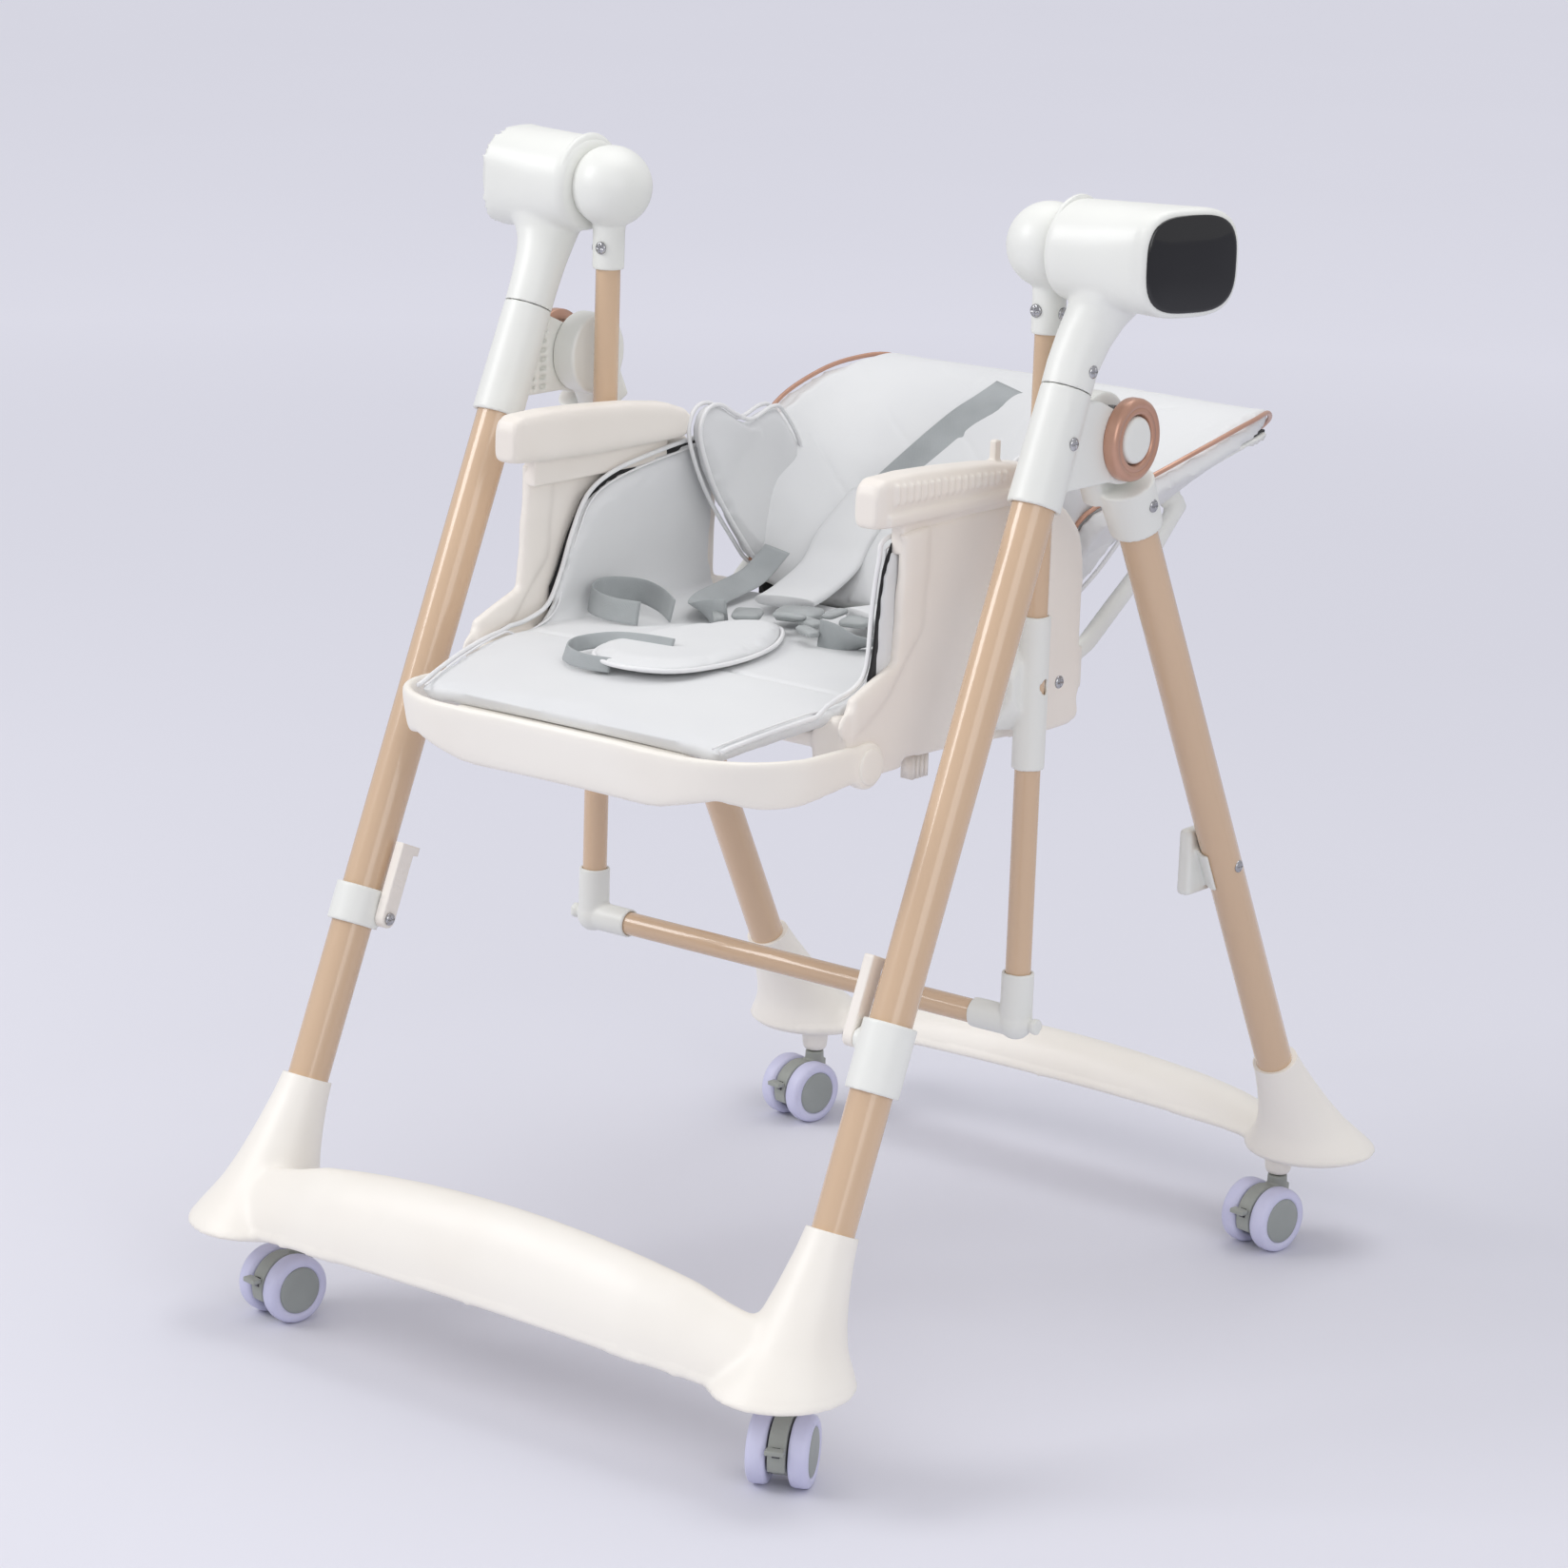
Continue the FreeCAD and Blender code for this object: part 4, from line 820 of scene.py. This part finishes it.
# ---- footrest --------------------------------------------------------------
def footrest():
    half, back, front, r = 203.0, -202.0, -346.0, 74.0
    plan = [(half, back), (half, back - 30), (half, front + r)]
    for k in range(1, 9):
        a = k * math.pi / 18
        plan.append((half - r + r * math.cos(a), front + r - r * math.sin(a)))
    plan += [(half - r - 10, front - 1.5), (60, front + 1), (0, front + 2)]
    plan += [(-x, y) for x, y in reversed(plan[:-1])]
    path = smoothed([P(x, y, 0) for x, y in plan], 4)
    rings = []
    for i, p in enumerate(path):
        d = (path[min(i + 1, len(path) - 1)] - path[max(i - 1, 0)]).normalized()
        out = d.cross(Vector((0, 0, 1)))
        reach = max(0.0, min(1.0, (-202 * MM - p.y) / (120 * MM)))
        top = 567.0 + 4.0 * reach
        corner = max(0.0, 1.0 - abs(abs(p.x) / MM - 160.0) / 60.0)
        low = 534.0 - 13.0 * reach + 15.0 * corner
        lean = (out * 0.16 * reach - Vector((0, 0, 1))).normalized()
        centre = Vector((p.x, p.y, (top + low) / 2 * MM))
        rings.append(rounded(centre, out, lean, 5.4 * MM, (top - low) / 2 * MM, 4.0, 32))
    parts = [loft("band", rings)]
    for _, side in SIDES:
        ear = [(194, 19), (203, 20), (208, 19.6), (209.5, 17.5)]
        parts.append(lathe("ear", [(side * a, q) for a, q in ear], P(0, -202, 549), (1, 0, 0)))
    shelf = [P(x, y, 560) for x, y in ((-120, -338), (120, -338), (130, -310), (-130, -310))]
    parts.append(slab("shelf", shelf, P(0, 0, 6)))
    obj = moulded("footrest_band", parts, CREAM, 2.2, 7)
    place(obj, "footrest", "cream_shell", "footrest_band")
    caps = []
    for _, side in SIDES:
        cap = [(207, 15.6), (210.2, 15.6), (211.4, 14.6), (211.8, 12.5), (212, 6), (212, 0)]
        caps.append(lathe("cap", [(side * a, q) for a, q in cap], P(0, -202, 549), (1, 0, 0), CREAM, 64))
    place(joined("footrest_pivot_caps", caps), "footrest", "cream_shell")


footrest()


# ---- seat pad --------------------------------------------------------------
WING_TOP = [(-190, 598), (-168, 600), (-141, 610), (-125, 637), (-113, 669), (-95, 701), (-63, 718), (-10, 728),
            (50, 735), (84, 736)]


WING_RIGHT = [(-232, 598), (-219, 604), (-204, 609), (-191, 619), (-185, 637), (-182, 660), (-178, 683),
              (-171, 711), (-160, 729), (-90, 732), (84, 736)]


def wing_height(y, side):
    """Height of the side wing's edge above the seat, in mm, at y."""
    table = WING_RIGHT if side > 0 else WING_TOP
    for (y0, z0), (y1, z1) in zip(table[:-1], table[1:]):
        if y0 <= y <= y1:
            return max(0.0, z0 + (z1 - z0) * (y - y0) / (y1 - y0) - 598.0)
    return 0.0 if y < table[0][0] else table[-1][1] - 598.0


def seat_half(y):
    """Half width of the pad at y: it narrows in front of the pivots."""
    if y > -190:
        return 192.0
    way = min(1.0, (-190 - y) / 145.0)
    return 192.0 - 30.0 * way ** 1.3


def seat_row(y):
    """Points across the pad at y: wing, crease, seat, crease, wing."""
    half = seat_half(y)
    sag = 0.0 if y > -200 else (-200 - y) ** 1.5 * 0.012
    pts = []
    for k in range(33):
        s = -1 + k / 16
        x = s * (half - 6)
        dome = 5.0 * (1 - s * s) - 3.0
        pts.append(P(x, y, 596 + dome - sag))
    edge = pts[-1].z / MM
    walls = []
    for side in (-1, 1):
        h = wing_height(y, side)
        rise = min(1.0, h / 30.0)
        wall = []
        for k in range(1, 13):
            t = k / 12
            up_x = half - 6 + 5 * min(1, t * 6) - 0.04 * h * t
            flat_x = half - 6 + 6 * t
            z = edge + (4 * min(1, t * 8) * rise + max(0.0, h - 4) * t)
            wall.append(P(side * (flat_x + (up_x - flat_x) * rise), y, z))
        walls.append(wall)
    left, right = list(reversed(walls[0])), walls[1]
    return left + pts + right


def wing_line(side, inset, lift=0.0):
    """Line along the flap's side and the wing's edge, set in from it in mm."""
    table = WING_RIGHT if side > 0 else WING_TOP
    pts = []
    for y in range(-338, table[0][0] - 6, 8):
        sag = 0.0 if y > -200 else (-200 - y) ** 1.5 * 0.012
        pts.append(P(side * (seat_half(y) - inset), y, 594 - sag + lift))
    edge = smoothed([Vector((y, z, 0)) for y, z in table], 4)
    for i, p in enumerate(edge):
        along_edge = (edge[min(i + 1, len(edge) - 1)] - edge[max(i - 1, 0)]).normalized()
        q = p + Vector((along_edge.y, -along_edge.x, 0)) * inset
        rise = min(1.0, max(0.0, (p.y - 598.0) / 30.0))
        x = seat_half(p.x) - 1 - 0.04 * max(0.0, p.y - 598) - inset * (1 - rise)
        pts.append(P(side * x, q.x, q.y + lift * (1 - rise)))
    return smoothed(pts, 2)


def seat_pad():
    rows = [seat_row(y) for y in range(-338, 89, 5)]
    depth = [7.0] * 12 + [13.0] * 33 + [7.0] * 12
    obj = pad("seat_liner", [thick_sheet("liner", rows, [depth] * len(rows))], LEATHER, cap=3.0, voxel=4.5, fill=0.45, rounds=2)
    return obj


seat_liner = seat_pad()


# ---- backrest --------------------------------------------------------------
# Stations up the back: y, z, slope in degrees, half width, height of the raised sides.
BACK = [(112, 592, 34, 160, 8), (133, 606, 37, 164, 40), (171, 636, 38, 184, 84), (211, 667, 38, 202, 76),
        (256, 702, 37, 219, 58), (302, 737, 33, 225, 32), (340, 758, 20, 222, 14), (374, 767, 4, 212, 5),
        (404, 761, -18, 196, 0), (424, 750, -34, 176, -3)]


def back_stations():
    out = []
    pts = smoothed([Vector((y, z, 0)) for y, z, *_ in BACK], 5)
    facts = smoothed([Vector(b[2:5]) for b in BACK], 5)
    return [(p.x, p.y, f.x, f.y, f.z) for p, f in zip(pts, facts)]


def back_point(station, s, lift=0.0):
    """Point on the back pad: s runs -1..1 across, lift is above the surface in mm."""
    y, z, slope, half, height = station
    a = math.radians(slope)
    up = Vector((0, -math.sin(a), math.cos(a)))
    t = abs(s)
    bank = max(0.0, (t - 0.55) / 0.45)
    rise = height * bank ** 1.8 + 3.0 * (1 - t * t) + lift
    return P(s * half, y, z) + up * rise * MM


def back_pad():
    rows = []
    for station in back_stations():
        rows.append([back_point(station, -1 + k / 20) for k in range(41)])
    obj = pad("backrest_cushion", [thick_sheet("back", rows, 17.0)], LEATHER, cap=3.5, voxel=4.5, fill=0.5, rounds=2)
    return obj


def back_lining():
    """Black cloth on the outer side of the pad."""
    rows = []
    for station in back_stations():
        rows.append([back_point(station, (-1 + k / 20) * 0.985, -16.2) for k in range(41)])
    place(thick_sheet("backrest_lining", rows, 1.6, BACKING), "backrest", "pale_leather")


def back_shell():
    rows = []
    for station in back_stations():
        reach = 0.8 if station[0] < 215 else 0.8 + 0.2 * min(1.0, (station[0] - 215) / 50.0)
        rows.append([back_point(station, (-1 + k / 20) * reach, -18.5) for k in range(41)])
    parts = [thick_sheet("shell", rows, 5.0)]
    parts.append(lathe("barrel", [(-164, 9), (164, 9)], P(0, 110, 580), (1, 0, 0)))
    for _, side in SIDES:
        rib = [P(side * 186, 112, 584), P(side * 190, 133, 655 - 60), P(side * 192, 200, 672 - 30),
               P(side * 194, 267, 704)]
        ring_list = []
        for i, p in enumerate(rib):
            ring_list.append(rounded(p, Vector((1, 0, 0)), Vector((0, -0.6, 0.8)), 6 * MM, 9 * MM, 4.0, 24))
        parts.append(loft("rib", ring_list))
    obj = moulded("backrest_shell", parts, WHITE, 3.0, 6)
    place(obj, "backrest", "cream_shell", "backrest_shell")


EAR = [(112, 616), (84, 642), (54, 684), (38, 720), (34, 745), (45, 762), (64, 765), (86, 754), (112, 746),
       (150, 752), (172, 745), (200, 704), (172, 662), (138, 632)]


def ear(name, side):
    """Leaf-shaped side wing of the back pad."""
    outline = smoothed([P(side * (150 + (z - 618) * 0.12 + max(0, y - 90) * 0.16), y, z) for y, z in EAR], 5, closed=True)
    obj = pad("backrest_wing_" + name, [slab("ear", outline, P(side * 12.0, 0, 0))], LEATHER, cap=3.5, voxel=4.0,
              fill=0.5, rounds=3)
    cords = []
    for depth in (-0.5, 12.5):
        edge = [p + P(side * depth, 0, 0) for p in outline]
        cords.append(tube("cord", edge, 2.0, PIPING, 10, closed=True))
    return obj, joined("backrest_wing_piping_" + name, cords)


back_cushion = back_pad()
back_shell()
back_lining()
ears = [ear(name, side) for name, side in SIDES]


# ---- crotch pad and harness ------------------------------------------------
CROTCH = [(-6, -262), (-44, -250), (-64, -216), (-66, -170), (-54, -110), (-36, -66), (-14, -50), (8, -62),
          (34, -104), (48, -150), (50, -200), (36, -244)]


def crotch_pad():
    outline = [P(x, y, 602.5) for x, y in CROTCH]
    outline = smoothed(outline, 5, closed=True)
    obj = pad("crotch_cushion", [slab("crotch", outline, P(0, 0, 8))], LEATHER, cap=2.5, voxel=3.5, fill=0.4, rounds=3)
    cord = tube("crotch_piping", [p + P(0, 0, 3.5) for p in outline], 2.0, PIPING, 10, closed=True)
    inner = [P(x * 0.9 - 0.6, -156 + (y + 156) * 0.93, 602.4) for x, y in CROTCH]
    under = slab("crotch_backing", smoothed(inner, 5, closed=True), P(0, 0, 2.5), BACKING)
    return obj, cord, under


crotch, crotch_cord, crotch_under = crotch_pad()


def shoulder_path(side):
    """From the slot high in the back pad down to the shoulder pad."""
    stations = back_stations()
    pts = []
    for y, x in ((340, 41), (312, 50), (280, 62), (245, 78), (212, 92), (192, 97)):
        station = min(stations, key=lambda st: abs(st[0] - y))
        pts.append(back_point(station, side * x / station[3], 4.0))
    return pts


def harness():
    """Webbing and shoulder pads, laid out as they have been dropped on the seat."""
    across = Vector((1, 0, 0))
    webs = []
    for name, side in SIDES:
        tilt = Vector((1.0, side * -0.35, side * -0.1))
        top = shoulder_path(side)
        webs.append(ribbon("shoulder_strap_" + name, top, 42, tilt))
        low = [top[-2] + P(0, 0, 1), P(side * 94, 160, 640), P(side * 85, 126, 619), P(side * 58, 52, 612),
               P(side * 42, 4, 611)]
        section = []
        for i, p in enumerate(smoothed(low, 5)):
            section.append(rounded(p + P(0, 0, 3), Vector((1, side * -0.35, 0)).normalized(),
                                   Vector((0, -0.3, 1)).normalized(), 27 * MM, 5.5 * MM, 3.0, 32))
        webs.append(loft("shoulder_pad_" + name, section, LEATHER))
        belt = [P(side * 128, 104, 634), P(side * 126, 70, 616), P(side * 120, 30, 611), P(side * 108, -20, 609),
                P(side * 84, -58, 608), P(side * 50, -66, 612)]
        up = Vector((0.2, -0.3, 1))
        webs.append(ribbon("waist_strap_" + name, belt, 26, [Vector((0.9, side * 0.1, 0.35 * side)) for _ in belt]))
    loop = [(-96, -84, 611), (-128, -62, 613), (-160, -54, 615), (-180, -76, 616), (-172, -104, 613),
            (-142, -116, 611), (-112, -110, 610)]
    webs.append(ribbon("waist_strap_loop", [P(*p) for p in loop], 21, Vector((0, 0.25, 1))))
    loop = [(-4, -196, 613), (-34, -200, 613), (-62, -206, 611), (-82, -226, 607), (-76, -250, 605), (-48, -262, 604),
            (-20, -258, 604)]
    webs.append(ribbon("waist_strap_crotch", [P(*p) for p in loop], 13, Vector((0, 0.5, 1))))
    return webs


webs = harness()
swell()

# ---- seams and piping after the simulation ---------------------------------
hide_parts("seat_cushion", "calf_pad")
press_seams(seat_liner, [
    smoothed([P(-186, -176, 598), P(-60, -188, 600), P(60, -190, 600), P(186, -178, 598)], 8),
    [P(-178, y, 600) for y in (-160, -60, 84)], [P(178, y, 600) for y in (-160, -60, 84)]], 2.2, 3.0)
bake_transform(seat_liner)
for name, side in SIDES:
    cord = joined("seat_piping_" + name, [tube("c", wing_line(side, 1.0, 2.0), 2.1, PIPING, 10),
                                          tube("c", wing_line(side, 9.0, 3.5), 1.0, PIPING, 8)])
    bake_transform(cord)
    rows = []
    for y in range(-192 if side > 0 else -132, 86, 4):
        h = wing_height(y, side)
        rows.append([P(side * (195.5 - 0.04 * h * t), y, 598 + h * t) for t in (0.0, 0.33, 0.66, 0.97)])
    sheet_piece = thick_sheet("seat_backing_" + name, rows, 1.0 * side, BACKING)
    place(sheet_piece, "seat", "pale_leather")

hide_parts("backrest_pad")
STATIONS = back_stations()


def back_line(pairs, lift=0.0):
    """Line on the back pad through (share of the way up, across) pairs."""
    pts = []
    for way, s in pairs:
        station = STATIONS[int(round(way * (len(STATIONS) - 1)))]
        pts.append(back_point(station, s, lift))
    return smoothed(pts, 6)


seams = [back_line([(k / 12, 0.0) for k in range(13)])]
for _, side in SIDES:
    seams.append(back_line([(k / 12, 0.36 * side) for k in range(13)]))
    for base_way in (0.2, 0.42, 0.62):
        seams.append(back_line([(base_way, 0.0), (base_way + 0.06, 0.18 * side), (base_way + 0.12, 0.36 * side)]))
        seams.append(back_line([(base_way + 0.02, 0.36 * side), (base_way + 0.1, 0.6 * side),
                                (base_way + 0.2, 0.85 * side)]))
press_seams(back_cushion, seams, 2.0, 3.0)
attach(back_cushion, "backrest")
edge = [back_point(st, -1.0, -1.0) for st in STATIONS[3:]]
edge += [back_point(STATIONS[-1], -1 + k / 20, -1.0) for k in range(1, 40)]
edge += [back_point(st, 1.0, -1.0) for st in reversed(STATIONS[3:])]
rim = tube("backrest_trim", edge, 2.2, ROSE, 12)
place(rim, "backrest", "rose_gold")
for (obj, cord), (name, side) in zip(ears, SIDES):
    place(obj, "backrest", "pale_leather")
    place(cord, "backrest", "pale_leather")

place(crotch, "seat", "pale_leather", "crotch_pad")
place(crotch_cord, "seat", "pale_leather")
place(crotch_under, "seat", "pale_leather")
for obj in webs:
    name = obj.name
    if name.startswith("waist"):
        place(obj, "seat", "grey_webbing")
    elif name.startswith("shoulder_strap"):
        place(obj, "backrest", "grey_webbing")
    else:
        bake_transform(obj)
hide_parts("waist_straps")


def buckle():
    """Centre buckle, two tongues and strap sliders."""
    def plate(x, y, z, length, width, turn, tall=4.0):
        spot = Matrix.Translation(P(x, y, z)) @ Matrix.Rotation(math.radians(turn), 4, "Z")
        rings = []
        for share, inset in ((0, 1.2), (0.3, 0), (0.7, 0), (1, 1.2)):
            rings.append(rounded(P(0, 0, (share - 0.5) * tall), Vector((1, 0, 0)), Vector((0, 1, 0)),
                                 (length / 2 - inset) * MM, (width / 2 - inset) * MM, 5.0, 32))
        obj = loft("plate", rings, BUCKLE)
        obj.data.transform(spot)
        return obj
    spots = [(-8, -18, 612, 40, 34, 20, 8), (-40, -50, 612, 26, 32, 30, 5), (20, -40, 613, 34, 14, -20, 5),
             (38, -66, 612, 30, 12, -28, 5), (48, -10, 613, 26, 30, 15, 5), (-56, -70, 611, 10, 34, 40, 5),
             (4, -48, 617, 30, 9, 15, 4), (26, -12, 617, 12, 34, 10, 4)]
    obj = joined("harness_buckle", [plate(*s) for s in spots])
    place(obj, "seat", "buckle_grey", "buckle")


buckle()

# ---- stage, lights and camera ----------------------------------------------
floor = make("floor", [(-15, -15, 0), (15, -15, 0), (15, 15, 0), (-15, 15, 0)], [(0, 1, 2, 3)], FLOOR)


def studio_glow():
    """Even backdrop: the floor glows with distance, for rays that only look at it."""
    nodes, links = FLOOR.node_tree.nodes, FLOOR.node_tree.links
    spot, length = nodes.new("ShaderNodeTexCoord"), nodes.new("ShaderNodeVectorMath")
    length.operation = "LENGTH"
    links.new(spot.outputs["Object"], length.inputs[0])
    grow = nodes.new("ShaderNodeMapRange")
    grow.inputs["From Min"].default_value, grow.inputs["From Max"].default_value = 0.9, 5.5
    grow.inputs["To Min"].default_value, grow.inputs["To Max"].default_value = 0.0, 0.33
    links.new(length.outputs["Value"], grow.inputs["Value"])
    ray = nodes.new("ShaderNodeLightPath")
    seen = nodes.new("ShaderNodeMath")
    seen.operation = "MAXIMUM"
    links.new(ray.outputs["Is Camera Ray"], seen.inputs[0])
    links.new(ray.outputs["Is Transmission Ray"], seen.inputs[1])
    both = nodes.new("ShaderNodeMath")
    both.operation = "MULTIPLY"
    links.new(grow.outputs["Result"], both.inputs[0])
    links.new(seen.outputs["Value"], both.inputs[1])
    shader = nodes["Principled BSDF"]
    shader.inputs["Emission Color"].default_value = colour(222, 222, 232)
    links.new(both.outputs["Value"], shader.inputs["Emission Strength"])


studio_glow()


def lamp(name, place_at, aim, size, power, tint=(1, 1, 1)):
    light = bpy.data.lights.new(name, "AREA")
    light.shape = "RECTANGLE"
    light.size, light.size_y = size
    light.energy = power
    light.color = tint
    obj = bpy.data.objects.new(name, light)
    obj.location = place_at
    obj.rotation_euler = (Vector(aim) - Vector(place_at)).to_track_quat("-Z", "Y").to_euler()
    bpy.context.scene.collection.objects.link(obj)


lamp("key", (-2.4, -2.6, 2.9), (0, 0, 0.5), (1.8, 1.8), 62)
lamp("fill", (3.0, -2.0, 2.0), (0, 0, 0.5), (2.2, 2.2), 26)
lamp("top", (0.2, 0.6, 3.6), (0, 0, 0.4), (2.6, 2.6), 34)

world = bpy.data.worlds.new("studio")
world.use_nodes = True
world.node_tree.nodes["Background"].inputs["Color"].default_value = (0.93, 0.93, 0.97, 1)
world.node_tree.nodes["Background"].inputs["Strength"].default_value = 0.62
bpy.context.scene.world = world
bpy.context.scene.view_settings.view_transform = "Standard"

AZ, EL, ROLL = math.radians(37.34), math.radians(14.57), math.radians(1.89)
level = Vector((math.cos(AZ), math.sin(AZ), 0))
back_axis = Vector((math.sin(AZ) * math.cos(EL), -math.cos(AZ) * math.cos(EL), math.sin(EL)))
upright = back_axis.cross(level)
right_axis = level * math.cos(ROLL) + upright * math.sin(ROLL)
up_axis = upright * math.cos(ROLL) - level * math.sin(ROLL)
camera = bpy.data.objects.new("camera", bpy.data.cameras.new("camera"))
camera.data.lens = 105.65
camera.data.sensor_width = 36.0
turn = Matrix((right_axis, up_axis, back_axis)).transposed().to_4x4()
camera.matrix_world = Matrix.Translation((2.34532, -3.11668, 1.47120)) @ turn
bpy.context.scene.collection.objects.link(camera)
bpy.context.scene.camera = camera
